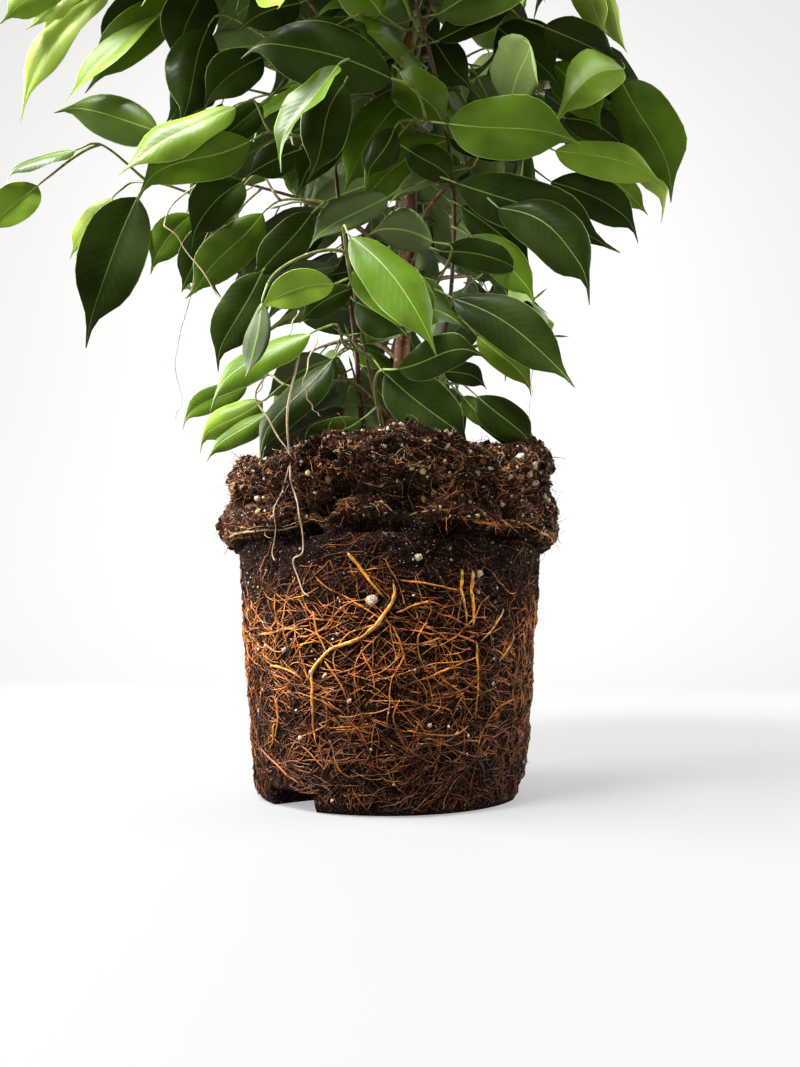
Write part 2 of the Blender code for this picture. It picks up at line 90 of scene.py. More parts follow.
# Trunk and stems, as in the frame
GAP = 0.0003
CLEARANCE = 0.0006
TRUNK_RADIUS = 0.0054
TRUNK_TIP_RADIUS = 0.0016
TRUNK_TOP = 0.815
TRUNK_LEAN = 0.014
FLARE = 0.55
FLARE_HEIGHT = 0.016
TRUNK_SIDES, TRUNK_STEPS = 8, 12
STEM_SIDES, STEM_STEPS = 6, 6
BOUGH_SIDES, BOUGH_STEPS = 5, 3
BOUGH_COUNT = 25
BOUGH_HEIGHTS = (0.226, 0.735)
FIRST_AZIMUTH = 216.0
TURN = 137.5
RISE_AT_FOOT = (44, 66)
RISE_AT_TIP = (12, 44)
BOUGH_SHARE = 0.34
BOUGH_SWING = 4.0
BOUGH_RADIUS = 0.0020
BOUGH_TIP_RADIUS = 0.0013

# Growth of the foliage, as in the frame
SPREAD_SHARE = 0.54
STEM_SWING = 5.0
STEM_SEGMENTS = 3
MASS_DROOP = 42.0
SIDE_STEM_DROOP = 70.0
LEADER_DROOP = 20.0
LEADER_SPREAD = 0.080
LEADER_AZIMUTH = 250.0
LEAF_LENGTH = 0.092
LEAF_WIDTH = 0.037
LEAF_THICKNESS = 0.013
LEAF_ARCH = 0.16
STALK_DEPTH = 0.0006
LEAF_OUTLINE = ((0.33, 0.42), (0.64, 0.44))
LEAF_CORNERS = 8
LEAF_TRIES = 60
LEAF_SPACING = 0.016
BARE_TWIG = 0.3
BARE_STEM = 0.2
TWIG_RADIUS = 0.0010
TWIG_TIP_RADIUS = 0.0006
TWIG_SPACING = 0.030
TWIG_LENGTH = 0.068
TWIG_TRIES = 10
CELL_GAP = 0.0004
CROWN_TOP = 0.920
CROWN_FOOT = 0.185
CROWN_PROFILE = (
    (0.20, 0.128), (0.28, 0.140), (0.35, 0.185), (0.42, 0.215), (0.52, 0.215), (0.64, 0.200), (0.74, 0.165),
    (0.84, 0.110), (0.92, 0.045),
)
FRONT_CUT = 0.36
FRONT_CUT_TOP = 0.54
SIDE_SPRAY = 0.045
SIDE_SPRAY_AZIMUTH = 182.0
SIDE_SPRAY_HEIGHT = 0.40
SIDE_SPRAY_HALF_HEIGHT = 0.07

# Finer growth, which the frame leaves out
FINE_SEED = 6100
INNER_SEED = FINE_SEED + 900
TINT_SEED = FINE_SEED + 500
FINE_TWIG_SPACING = 0.019
FINE_TWIG_LENGTH = 0.050
FINE_LEAF_SPACING = 0.013
FINE_LEAF_TRIES = 26
INNER_TWIG_SPACING = 0.022
INNER_TWIG_LENGTH = 0.045
INNER_LEAF_SPACING = 0.014
INNER_LEAF_TRIES = 18
INNER_REACH = 0.13  # how far off another leaf may touch an inner spray

# Leaf blades
RIB_HALF_WIDTH = 0.00030
BLADE_DEPTH = 0.00035
STALK_SHARE = 0.14  # of a grown leaf's length
STALK_RADIUS = 0.00055
STALK_LIFT = 0.004  # how far a grown leaf's stalk may arch up
STEM_SUNK = 0.006  # how deep a mass's stem starts inside its bough
GROWN_ARCH = 0.136
BUD_LENGTH = 0.0085
BUD_RADII = (0.0006, 0.00085, 0.00075, 0.0004, 0.00012)
BLADES_IN_PIECE = 480
WOOD_STEP = 0.008  # between the places on the wood that a set leaf's twig may spring from
KINDS = ("deep", "green", "fresh", "young")
DEEP, GREEN, FRESH, YOUNG = range(4)


@dataclass
class Limb:
    """A tapering limb along a path of points."""

    name: str
    points: list
    radii: list
    sides: int
    first_ring_faces: Vector = None


@dataclass
class Leaf:
    base: Vector
    along: Vector
    face: Vector
    length: float
    width: float


@dataclass
class Mass:
    """A mass of foliage: the path of its stem, and the middle of the space that it keeps to."""

    name: str
    stem: list
    centre: Vector


FRONT_POINT = Vector((0, -0.4645, 0.077))  # the set sprays and the openings are laid out from here

# Leaves of the front sprays, in millimetres: kind (see KINDS), base, tip, where the face looks, width
SET_LEAVES = (
    (0, 35, -60, 274, 98, -78, 216, -2, -10, 1, 29), (0, 60, -70, 323, 108, -88, 264, -4, -9, -1, 29),
    (0, 38, -62, 343, 122, -74, 291, -3, -9, -3, 30), (0, 98, -34, 363, 155, -26, 332, -1, -9, -4, 25),
    (1, 32, -76, 370, 103, -88, 348, -3, -9, -4, 33), (2, 149, -24, 449, 99, -50, 395, 4, -9, 0, 30),
    (1, 151, -12, 452, 183, -8, 368, -4, -9, -2, 38), (3, 153, 2, 439, 186, 6, 368, 0, -10, -1, 27),
    (2, 98, -48, 374, 166, -42, 353, 1, -10, -1, 25), (2, 138, -2, 392, 169, 2, 363, -2, -9, -4, 15),
    (0, 97, -32, 472, 149, -22, 453, 0, -8, -6, 25), (0, 71, -12, 489, 108, -22, 440, -5, -9, -2, 38),
    (1, 29, -62, 453, 94, -60, 473, 2, -9, -5, 31), (0, 28, -56, 440, 77, -46, 468, 2, -10, 1, 20),
    (3, 125, 8, 544, 149, 12, 504, -4, -9, -3, 19), (3, 154, 14, 554, 164, 16, 493, 5, -9, 1, 21),
    (0, 28, -40, 452, 50, -44, 420, -4, -9, -2, 23), (1, 106, -14, 462, 134, -18, 409, -4, -9, -2, 26),
    (0, 115, -8, 426, 156, -4, 406, -1, -9, -5, 22), (0, 35, -46, 383, 78, -40, 373, 0, -9, -4, 22),
    (0, 28, -66, 299, 77, -60, 288, 0, -9, -3, 18), (1, 45, -56, 314, 83, -64, 270, -3, -9, -1, 21),
    (0, 41, -52, 335, 82, -58, 291, -3, -9, -2, 21), (2, 50, -46, 258, 81, -50, 222, -2, -10, -1, 17),
    (0, 4, -98, 218, 47, -112, 219, -3, -9, -2, 20), (0, -3, -58, 231, 45, -70, 187, -2, -10, 0, 31),
    (0, 31, -40, 239, 56, -38, 229, 0, -10, -2, 14), (0, 50, -40, 224, 82, -46, 191, -2, -10, 0, 22),
    (1, 42, -34, 226, 58, -38, 204, -2, -10, 0, 13), (0, 49, -10, 230, 93, -12, 188, 1, -10, 2, 21),
    (1, -20, -112, 281, 22, -122, 217, 0, -10, 1, 26), (1, 22, -88, 292, -12, -96, 293, -2, 9, 3, 21),
    (2, -29, -98, 263, -67, -106, 246, 3, -9, -2, 18), (0, -64, -104, 250, -70, -104, 210, 4, 9, -1, 14),
    (1, -41, -92, 239, -95, -88, 202, -3, -9, 3, 22), (0, -71, -66, 286, -95, -74, 228, 3, -10, 0, 25),
    (0, -16, -62, 203, -48, -76, 179, 3, -9, 1, 17), (0, -32, -66, 235, -71, -74, 178, -3, -9, 3, 24),
    (2, -74, -36, 222, -112, -36, 196, 1, -10, -1, 20), (1, -86, -22, 236, -126, -20, 212, 0, -10, -1, 16),
    (1, -69, -44, 213, -104, -44, 185, -2, -10, 2, 15), (1, -37, -12, 257, -76, -16, 228, -2, 10, 1, 20),
    (0, -19, -72, 266, 10, -80, 243, -3, -10, 0, 25), (0, -21, -70, 275, -49, -76, 251, 3, -10, -1, 15),
    (1, -2, -62, 334, -46, -74, 296, -3, 10, 0, 20), (1, 46, -54, 358, -4, -58, 335, 1, 9, -4, 19),
    (0, -155, -30, 353, -179, -36, 259, 4, -9, 0, 37), (3, -177, -12, 364, -200, -14, 322, 1, -10, 0, 17),
    (1, -142, -38, 392, -208, -30, 413, -2, -9, -3, 27), (2, -87, -76, 379, -145, -84, 329, 0, -10, 2, 26),
    (1, -80, -68, 364, -140, -76, 324, 3, -9, -3, 27), (0, -87, -50, 351, -115, -56, 309, 4, -9, -1, 26),
    (1, -123, -22, 347, -146, -26, 307, 4, -9, -1, 21), (0, -105, -36, 331, -123, -40, 286, 4, -9, -1, 22),
    (1, -75, -48, 332, -112, -54, 272, 3, -9, -1, 25), (0, -45, -60, 325, -76, -66, 278, 3, -9, -1, 22),
    (0, -113, -42, 460, -123, -50, 389, 4, -9, 1, 34), (0, -117, -36, 495, -132, -40, 432, 4, -9, 0, 32),
    (0, -78, -48, 435, -111, -54, 395, 4, -9, -2, 25), (0, 0, -94, 383, -84, -92, 406, -1, -9, -4, 33),
    (1, -28, -104, 382, -60, -112, 322, -4, -9, 3, 23), (0, -25, -96, 378, -41, -102, 317, 2, -10, 0, 26),
    (1, 5, -50, 424, 31, -56, 377, -4, -9, -1, 27), (0, -150, -22, 501, -186, -28, 447, 5, -8, -3, 26),
    (2, -146, -36, 473, -197, -46, 404, -2, -9, 3, 22), (1, -138, -26, 496, -186, -32, 423, 5, -8, -3, 26),
    (3, -176, -40, 485, -222, -48, 395, 0, -10, 1, 21), (2, -197, -38, 491, -213, -40, 441, 4, -9, -1, 18),
    (3, -190, -46, 479, -217, -54, 444, 1, -10, 1, 15), (2, -201, -50, 476, -225, -66, 440, 5, -9, 0, 16),
    (1, -183, -56, 366, -219, -68, 340, -1, -9, 5, 16), (2, -202, -58, 342, -222, -70, 304, 6, -8, -1, 19),
    (0, -52, -64, 362, -81, -70, 341, 4, -9, -3, 18), (0, -77, -52, 400, -102, -56, 367, 4, -9, -2, 19),
    (0, -27, -70, 440, -57, -74, 404, 4, -9, -2, 24), (1, -6, -60, 454, -37, -60, 483, -3, -9, -3, 30),
    (0, -56, -50, 470, -91, -54, 448, 4, -8, -4, 23), (0, 2, -60, 379, -16, -66, 342, 3, -10, 0, 19),
    (0, 10, -52, 371, 38, -56, 343, -3, -9, -2, 20), (0, -31, -56, 379, -52, -60, 336, 3, -10, -1, 21),
    (1, -33, -52, 385, -32, -54, 356, -3, 9, -1, 10),
)

# Where the sky shows through the crown: outlines on an upright pane a metre before the front point, in
# millimetres to the right and up
OPENINGS = (
    ((-591, 905), (-528, 893), (-499, 864), (-534, 767), (-474, 819), (-477, 775), (-456, 766), (-422, 722),
     (-370, 706), (-388, 668), (-447, 710), (-572, 673)),
    ((-444, 848), (-428, 822), (-357, 855), (-313, 945), (-301, 945), (-327, 807), (-322, 766), (-332, 759),
     (-351, 778), (-439, 789), (-466, 780)),
    ((-564, 576), (-514, 591), (-469, 699), (-444, 705), (-411, 671), (-354, 662), (-329, 525), (-297, 525),
     (-289, 492), (-273, 480), (-254, 495), (-244, 474), (-252, 439), (-242, 388), (-224, 417), (-205, 399),
     (-250, 343), (-253, 360), (-286, 320), (-284, 303), (-266, 306), (-259, 276), (-191, 301), (-187, 276),
     (-210, 249), (-535, 236)),
    ((-335, 539), (-345, 632), (-333, 647), (-283, 657), (-290, 617), (-312, 599), (-328, 539)),
    ((-262, 757), (-243, 776), (-194, 772), (-256, 743)),
    ((-220, 788), (-187, 825), (-183, 851), (-156, 825), (-194, 770)),
    ((-213, 648), (-199, 661), (-161, 658), (-149, 632), (-170, 624), (-147, 612), (-226, 625),
     (-210, 639)),
    ((-105, 692), (-94, 699), (-85, 679), (-93, 674)),
    ((-96, 549), (-65, 569), (-57, 561), (-67, 548)),
    ((-73, 537), (-64, 546), (-61, 511), (-76, 511)),
    ((-52, 586), (-40, 598), (-31, 592), (-35, 575), (-47, 573)),
    ((-195, 402), (-156, 420), (-149, 411), (-173, 339), (-233, 350), (-204, 364), (-222, 362), (-204, 382),
     (-193, 371)),
    ((-144, 417), (-121, 434), (-92, 409), (-96, 400), (-140, 401)),
    ((-68, 366), (-18, 389), (-18, 358), (-55, 356)),
    ((222, 972), (221, 935), (293, 914), (326, 860), (358, 855), (400, 795), (405, 703), (423, 672),
     (400, 616), (601, 618), (631, 977)),
    ((236, 714), (290, 698), (355, 650), (361, 628), (385, 653), (400, 618), (602, 632), (568, 232),
     (211, 231), (214, 264), (175, 328), (105, 348), (132, 363), (119, 374), (122, 390), (152, 384),
     (194, 346), (177, 410), (239, 383), (252, 359), (248, 428), (207, 484), (182, 547), (288, 507),
     (273, 567), (293, 565), (312, 549), (299, 568), (353, 581), (329, 591), (280, 654), (217, 689)),
    ((188, 733), (225, 746), (238, 744), (244, 727), (220, 694)),
    ((145, 840), (164, 853), (158, 828)),
    ((121, 897), (130, 897), (131, 858), (122, 857)),
    ((63, 535), (116, 521), (64, 498)),
    ((125, 593), (139, 588), (144, 567)),
    ((81, 397), (103, 410), (114, 404), (107, 387), (89, 380), (67, 384)),
    ((118, 298), (129, 311), (138, 308), (171, 272), (160, 268)),
    ((196, 936), (217, 956), (221, 935), (210, 924)),
)
OPENING_BOXES = [(min(xs), max(xs), min(zs), max(zs)) for xs, zs in (zip(*outline) for outline in OPENINGS)]

# Roots that stand out on the ball: (azimuth, height) along each in degrees and millimetres, and its radius
GOLDEN_ROOTS = (
    (((271, 114), (271, 104), (265, 91), (259, 85), (250, 80), (243, 71), (242, 65), (242, 50), (242, 40),
      (243, 32)), 1.0),
    (((256, 128), (262, 116), (268, 105)), 0.9),
    (((294, 120), (294, 109), (296, 100), (297, 92)), 0.8),
    (((298, 120), (298, 109), (299, 99), (299, 91)), 1.0),
    (((321, 89), (317, 81), (312, 74)), 0.8),
    (((314, 101), (308, 92), (303, 84)), 0.6),
    (((221, 72), (231, 70), (239, 65)), 0.7),
    (((211, 88), (230, 90), (242, 92)), 0.55),
    (((243, 99), (246, 85), (249, 77)), 0.6),
    (((272, 114), (286, 111), (294, 109)), 0.5),
    (((272, 98), (281, 103), (288, 101)), 0.6),
    (((280, 65), (293, 72), (303, 77)), 0.6),
    (((301, 85), (302, 65), (302, 45)), 0.6),
    (((275, 41), (292, 38), (300, 43)), 0.5),
    (((208, 30), (227, 19), (235, 13)), 0.6),
    (((248, 36), (252, 22), (256, 18)), 0.5),
    (((247, 75), (254, 60), (256, 46)), 0.5),
    (((260, 80), (264, 69), (265, 60)), 0.5),
    (((38, 108), (44, 92), (36, 78), (30, 66), (33, 48)), 1.0),
    (((95, 118), (100, 96), (112, 84), (125, 80)), 0.9),
    (((140, 60), (150, 66), (163, 62), (171, 50)), 0.8),
    (((350, 104), (356, 88), (352, 70)), 0.8),
    (((60, 40), (72, 46), (84, 42), (96, 50)), 0.7),
    (((185, 96), (192, 80), (188, 62)), 0.7),
)
COLLAR_ROOTS = (
    (((266, 154), (273, 147), (287, 148)), 0.45),
    (((203, 141.5), (214, 142), (226, 141), (239, 139)), 0.6),
    (((309, 145), (323, 143), (345, 141)), 0.6),
    (((118, 150), (131, 146), (146, 149)), 0.5),
    (((28, 156), (44, 150), (58, 152)), 0.5),
)
# Hollows in the crumbly collar: azimuth in degrees, height, half width, half height and depth in millimetres
HOLLOWS = (
    (246, 151, 8, 5.5, 13), (250, 168, 7, 5, 6), (262, 143, 11, 6, 13), (276, 157, 10, 8, 15),
    (272, 143, 11, 5, 8), (292, 139, 15, 4, 7), (310, 137, 14, 4, 6), (260, 176, 6, 5, 7),
    (286, 172, 5, 4, 5), (236, 136, 9, 4, 5), (40, 150, 12, 6, 7), (100, 160, 9, 7, 8), (150, 148, 10, 5, 6),
)
# Big grains that show from a step away: azimuth in degrees, height and radius in millimetres
BIG_GRAINS = (
    (264, 104, 2.9), (247, 67, 1.6), (301, 118, 2.2), (279, 125, 2.8), (230, 80, 1.6), (284, 43, 1.4),
    (214, 59, 1.2), (236, 36, 1.8), (256, 55, 1.3), (242, 69, 1.5), (297, 173, 1.8), (332, 165, 1.7),
    (225, 160, 2.0), (322, 170, 2.2), (31, 88, 2.4), (75, 120, 2.2), (121, 62, 2.0), (158, 102, 2.3),
    (190, 44, 1.8), (12, 52, 1.9),
)
# Aerial roots that hang to the ball and lie on its face, and thin ones that hang free, in millimetres
AERIAL_ROOTS = (
    (((-47, -84, 236), (-50, -89, 214), (-51, -93, 193), (-51, -91, 177), (-49, -92, 167), (-48, -93, 158),
      (-45, -95, 148), (-43, -94, 140), (-44, -84, 128), (-48, -79, 125), (-48, -78, 119), (-44, -80, 110),
      (-40, -80, 106)), 0.62),
    (((-56, -80, 238), (-65, -80, 221), (-69, -82, 208), (-61, -90, 193), (-55, -92, 184), (-51, -90, 176),
      (-51, -91, 165), (-54, -89, 158), (-57, -88, 150), (-57, -88, 141), (-60, -74, 131),
      (-59, -70, 125)), 0.52),
)
HANGING_ROOTS = (
    (((-110, -52, 352), (-128, -60, 322), (-119, -60, 308), (-98, -60, 278), (-85, -62, 258)), 0.55),
    (((-80, -46, 352), (-98, -50, 336), (-107, -50, 317), (-114, -50, 283), (-119, -50, 256),
      (-121, -50, 241), (-117, -50, 218), (-119, -50, 207)), 0.4),
    (((-50, -70, 262), (-54, -84, 240), (-63, -85, 221), (-69, -85, 207)), 0.5),
    (((70, -20, 300), (82, -30, 256), (83, -30, 229), (79, -30, 207)), 0.28),
    (((-40, -66, 248), (-45, -80, 219), (-41, -80, 205), (-36, -80, 199)), 0.45),
)


# ---------------------------------------------------------------- paths, by the frame's rule


def heading(azimuth, rise):
    """The unit vector at that azimuth round +Z from +X, and that rise above the horizon, in degrees."""
    a, e = math.radians(azimuth), math.radians(rise)
    return Vector((math.cos(a) * math.cos(e), math.sin(a) * math.cos(e), math.sin(e)))


def arched_path(start, azimuth, rise, length, steps, swing):
    """Points along an arch whose rise goes evenly between two values; swing turns it from side to side."""
    points = [start.copy()]
    for step in range(steps):
        share = (step + 0.5) / steps
        bend = rise[0] + (rise[1] - rise[0]) * share
        turn = swing * (1 if step % 2 else -1)
        points.append(points[-1] + heading(azimuth + turn, bend) * (length / steps))
    return points


def between(table, value):
    """Linear interpolation in rows of (value, result)."""
    for (low, at_low), (high, at_high) in zip(table, table[1:]):
        if value <= high:
            share = max(0.0, (value - low) / (high - low))
            return at_low + (at_high - at_low) * share
    return table[-1][1]


def point_at_height(points, height):
    for a, b in zip(points, points[1:]):
        if a.z <= height <= b.z:
            return a.lerp(b, (height - a.z) / (b.z - a.z))
    return points[-1].copy()


def tube_rings(limb, extra=0.0):
    """A ring of points round each point of the path, square to it; extra widens every ring."""
    path = limb.points
    reference = Vector((0, 1, 0)) if abs((path[-1] - path[0]).normalized().z) > 0.9 else UP
    turns = [math.tau * k / limb.sides for k in range(limb.sides)]
    rings = []
    for i, point in enumerate(path):
        tangent = (path[min(i + 1, len(path) - 1)] - path[max(i - 1, 0)]).normalized()
        if i == 0 and limb.first_ring_faces is not None:
            tangent = limb.first_ring_faces
        side = tangent.cross(reference).normalized()
        other = tangent.cross(side)
        radius = limb.radii[i] + extra
        rings.append([point + (side * math.cos(a) + other * math.sin(a)) * radius for a in turns])
    return rings


def closed_tube(rings):
    """Points and faces of a tube through the rings, closed by a face at each end."""
    sides = len(rings[0])
    points = [p for ring in rings for p in ring]
    last = len(points) - sides
    faces = []
    for start in range(0, last, sides):
        for k in range(sides):
            a, b = start + k, start + (k + 1) % sides
            faces.append((a, b, b + sides, a + sides))
    return points, faces + [tuple(reversed(range(sides))), tuple(range(last, last + sides))]


def leaf_solid(leaf):
    """The frame's plain leaf, which stands for the blade when the growth tests what touches."""
    across = leaf.face.cross(leaf.along).normalized()

    def place(share, side, lift):
        sag = LEAF_ARCH * share * share * leaf.length - lift
        return leaf.base + leaf.along * (leaf.length * share) + across * (leaf.width * side) - leaf.face * sag

    (near, near_side), (far, far_side) = LEAF_OUTLINE
    spots = (
        (near, -near_side, 0), (far, -far_side, 0), (1, 0, 0), (far, far_side, 0), (near, near_side, 0),
        (0, 0, STALK_DEPTH), (0, 0, 0), ((near + far) / 2, 0, LEAF_THICKNESS * leaf.length),
    )
    points = [place(*spot) for spot in spots]
    base, under, face = 5, 6, 7
    faces = [(under, 0, base), (4, under, base)]
    faces += [(a, b, face) for a, b in ((base, 0), (0, 1), (1, 2), (2, 3), (3, 4), (4, base))]
    faces += [(0, under, 4), (1, 0, 4), (1, 4, 3), (2, 1, 3)]
    return points, faces


def angle_from(azimuth, centre):
    """How far an azimuth is from another, from -180 to 180 degrees."""
    return (azimuth - centre + 180) % 360 - 180


def ball_rings():
    """(height, radius, roughness, share of the break) from the foot to the edge of the soil patch."""
    widening, ledge = BODY_RADIUS - FOOT_RADIUS, RIM_RADIUS - BODY_RADIUS
    collar = SHOULDER_HEIGHT - LEDGE_HEIGHT
    return (
        (0.0, FOOT_RADIUS - 0.003, 0.0, 0.0),
        (0.004, FOOT_RADIUS, 0.3, 0.0),
        *((LEDGE_HEIGHT * k, FOOT_RADIUS + widening * k, 1.0, 0.0) for k in (0.25, 0.5, 0.75)),
        (LEDGE_HEIGHT - 0.003, BODY_RADIUS, 1.0, 0.1),
        (LEDGE_HEIGHT - 0.001, RIM_RADIUS - ledge * 0.25, 1.0, 1.0),
        (LEDGE_HEIGHT + 0.003, RIM_RADIUS, 2.0, 1.0),
        (LEDGE_HEIGHT + collar * 0.35, RIM_RADIUS - 0.0015, 3.0, 0.9),
        (LEDGE_HEIGHT + collar * 0.70, COLLAR_RADIUS, 3.0, 0.15),
        (SHOULDER_HEIGHT, COLLAR_RADIUS - 0.001, 3.0, 0.0),
        (SHOULDER_HEIGHT + 0.006, COLLAR_RADIUS - 0.007, 3.0, 0.0),
        (SHOULDER_HEIGHT + 0.009, COLLAR_RADIUS - 0.026, 2.0, 0.0),
        (SOIL_HEIGHT, SOIL_PATCH_RADIUS, 0.0, 0.0),
    )


def cast_point(azimuth, height, radius, roughness, broken, extra=0.0):
    """A point of the ball's plain cast, before its crumbs."""
    out = heading(azimuth, 0)
    lumps = noise.noise(Vector((out.x, out.y, height * 14)) * 3.1)
    lumps += 0.5 * noise.noise(Vector((out.x, out.y, height * 14)) * 8.3)
    amount = CAST_ROUGHNESS if roughness <= 1 else COLLAR_ROUGHNESS / 3
    from_break = angle_from(azimuth, BREAK_AZIMUTH) / BREAK_HALF_WIDTH
    bite = BREAK_DEPTH * broken * math.exp(-from_break * from_break)
    place = radius + lumps * amount * roughness - bite + extra
    fall = 0.0
    if height > LEDGE_HEIGHT + 0.01 and roughness:
        fall = TOP_FALL * 0.5 * (1 - out.x) * min(1.0, (height - LEDGE_HEIGHT) / 0.044)
    return out * place + UP * (height - fall)


def plain_ball(extra):
    """The frame's plain ball, larger all round by extra."""
    azimuths = [360 * k / BALL_SIDES for k in range(BALL_SIDES)]
    rings = [[cast_point(azimuth, *row, extra) for azimuth in azimuths] for row in ball_rings()]
    for point in rings[-1]:
        point.z += extra
    return closed_tube(rings)


def flared(radius, tip_radius, foot, height, top):
    """A limb's radius at a height: an even taper, and a flare just above the foot."""
    taper = radius + (tip_radius - radius) * (height - foot) / (top - foot)
    return taper * (1 + FLARE * math.exp(-(height - foot) / FLARE_HEIGHT))


def trunk_limb():
    """The main trunk: it leans a little to the right, then comes back over its foot."""
    foot = SOIL_HEIGHT + GAP
    points, radii = [], []
    for i in range(TRUNK_STEPS + 1):
        share = (i / TRUNK_STEPS) ** 1.25
        height = foot + (TRUNK_TOP - foot) * share
        lean = TRUNK_LEAN * math.sin(math.pi * min(1.0, share * 1.15)) + 0.002 * math.sin(9 * share)
        back = 0.006 + 0.004 * math.sin(5 * share)
        points.append(Vector((lean, back, height)))
        radii.append(flared(TRUNK_RADIUS, TRUNK_TIP_RADIUS, foot, height, TRUNK_TOP))
    return Limb("trunk", points, radii, TRUNK_SIDES, UP)


@dataclass
class Stem:
    """A thinner stem from the same root: where it stands, where it ends, and how far it bows out between."""

    name: str
    foot: tuple
    tip: tuple
    bow: tuple
    radius: float
    tip_radius: float
    spread: float


STEMS = (
    Stem("front_stem", (-0.003, -0.020), (-0.026, -0.052, 0.318), (-0.004, 0.002), 0.0014, 0.0012, 0.060),
    Stem("right_stem", (0.018, -0.014), (0.012, -0.062, 0.470), (0.022, -0.010), 0.0019, 0.0013, 0.085),
    Stem("left_stem", (-0.016, 0.012), (-0.056, 0.022, 0.560), (-0.004, 0.000), 0.0023, 0.0013, 0.095),
)


def stem_limb(stem):
    foot = SOIL_HEIGHT + GAP
    points, radii = [], []
    for i in range(STEM_STEPS + 1):
        share = i / STEM_STEPS
        bow = math.sin(math.pi * share)
        ways = zip(stem.foot, stem.tip, stem.bow)
        flat = [low + (tip - low) * share ** 1.4 + side * bow for low, tip, side in ways]
        height = foot + (stem.tip[2] - foot) * share
        points.append(Vector((*flat, height)))
        radii.append(flared(stem.radius, stem.tip_radius, foot, height, stem.tip[2]))
    return Limb(stem.name, points, radii, STEM_SIDES, UP)


def lowness(height):
    """1 in the lower crown, fading to 0 where the crown is full all round."""
    return min(1.0, max(0.0, (FRONT_CUT_TOP - height) / 0.12))


def frontness(azimuth):
    return max(0.0, math.cos(math.radians(angle_from(azimuth, 270))))


def crown_radius(height, azimuth):
    """How far the crown's outline lies from the axis at a height and azimuth."""
    radius = between(CROWN_PROFILE, height)
    radius *= 1 - FRONT_CUT * lowness(height) * frontness(azimuth) ** 1.5
    near_spray = (height - SIDE_SPRAY_HEIGHT) / SIDE_SPRAY_HALF_HEIGHT
    leftness = max(0.0, math.cos(math.radians(angle_from(azimuth, SIDE_SPRAY_AZIMUTH)))) ** 6
    return radius + SIDE_SPRAY * leftness * math.exp(-near_spray * near_spray)


@dataclass
class Bough:
    name: str
    height: float
    azimuth: float
    rise: tuple
    reach: float  # from the trunk to the crown's outline


def boughs():
    """The boughs climb the trunk in a spiral, each a golden angle round from the last."""
    made = []
    low, high = BOUGH_HEIGHTS
    for number in range(BOUGH_COUNT):
        share = number / (BOUGH_COUNT - 1)
        height = low + (high - low) * share
        azimuth = (FIRST_AZIMUTH + TURN * number) % 360
        rise = tuple(a + (b - a) * share for a, b in (RISE_AT_FOOT, RISE_AT_TIP))
        reach = crown_radius(height + 0.05, azimuth)
        made.append(Bough(f"bough_{number + 1:02d}", height, azimuth, rise, reach))
    return made


def bough_limb(bough, trunk):
    """One bough. Its flat foot faces the trunk and stays clear of it."""
    axis = point_at_height(trunk.points, bough.height)
    trunk_radius = flared(TRUNK_RADIUS, TRUNK_TIP_RADIUS, SOIL_HEIGHT, bough.height - 0.01, TRUNK_TOP)
    start = axis + heading(bough.azimuth, 0) * (trunk_radius + 2 * GAP)
    length = bough.reach * BOUGH_SHARE
    points = arched_path(start, bough.azimuth, bough.rise, length, BOUGH_STEPS, BOUGH_SWING)
    radii = [BOUGH_RADIUS + (BOUGH_TIP_RADIUS - BOUGH_RADIUS) * i / BOUGH_STEPS for i in range(len(points))]
    return Limb(bough.name, points, radii, BOUGH_SIDES, heading(bough.azimuth, 0))


def azimuth_of(direction):
    return math.degrees(math.atan2(direction.y, direction.x))


def mass_from(name, limb, spread, azimuth, droop):
    """The mass that a limb ends in: its stem starts just clear of the limb's tip and droops as it goes."""
    tip = limb.points[-1]
    direction = (tip - limb.points[-2]).normalized()
    rise = math.degrees(math.asin(direction.z))
    start = tip + direction * GAP
    stem = arched_path(start, azimuth, (rise, rise - droop), spread, STEM_SEGMENTS, STEM_SWING)
    return Mass(name, stem, stem[0].lerp(stem[-1], 0.55))


def limbs_and_masses():
    """Every limb, the trunk first, and the mass that each ends in."""
    trunk = trunk_limb()
    limbs, masses = [trunk], []
    for stem in STEMS:
        limb = stem_limb(stem)
        limbs.append(limb)
        azimuth = azimuth_of(limb.points[-1] - limb.points[-3])
        masses.append(mass_from(stem.name + "_foliage", limb, stem.spread, azimuth, SIDE_STEM_DROOP))
    for bough in boughs():
        limb = bough_limb(bough, trunk)
        limbs.append(limb)
        name = bough.name.replace("bough", "foliage")
        masses.append(mass_from(name, limb, bough.reach * SPREAD_SHARE, bough.azimuth, MASS_DROOP))
    masses.append(mass_from("leader_foliage", trunk, LEADER_SPREAD, LEADER_AZIMUTH, LEADER_DROOP))
    return limbs, masses


# ---------------------------------------------------------------- growth, by the frame's rule


class Space:
    """The space of one mass: the points nearer its centre than any other's, inside the crown's outline."""

    def __init__(self, mass, masses):
        self.shuts_openings = False
        self.faces = []
        for other in masses:
            if other is not mass:
                normal = (other.centre - mass.centre).normalized()
                self.faces.append(((mass.centre + other.centre) / 2 - normal * CELL_GAP, normal))

    def holds(self, points):
        for point in points:
            if not CROWN_FOOT < point.z < CROWN_TOP:
                return False
            if math.hypot(point.x, point.y) > crown_radius(point.z, azimuth_of(point)):
                return False
            if any((point - on_face).dot(normal) > 0 for on_face, normal in self.faces):
                return False
        return not (self.shuts_openings and in_opening(points))


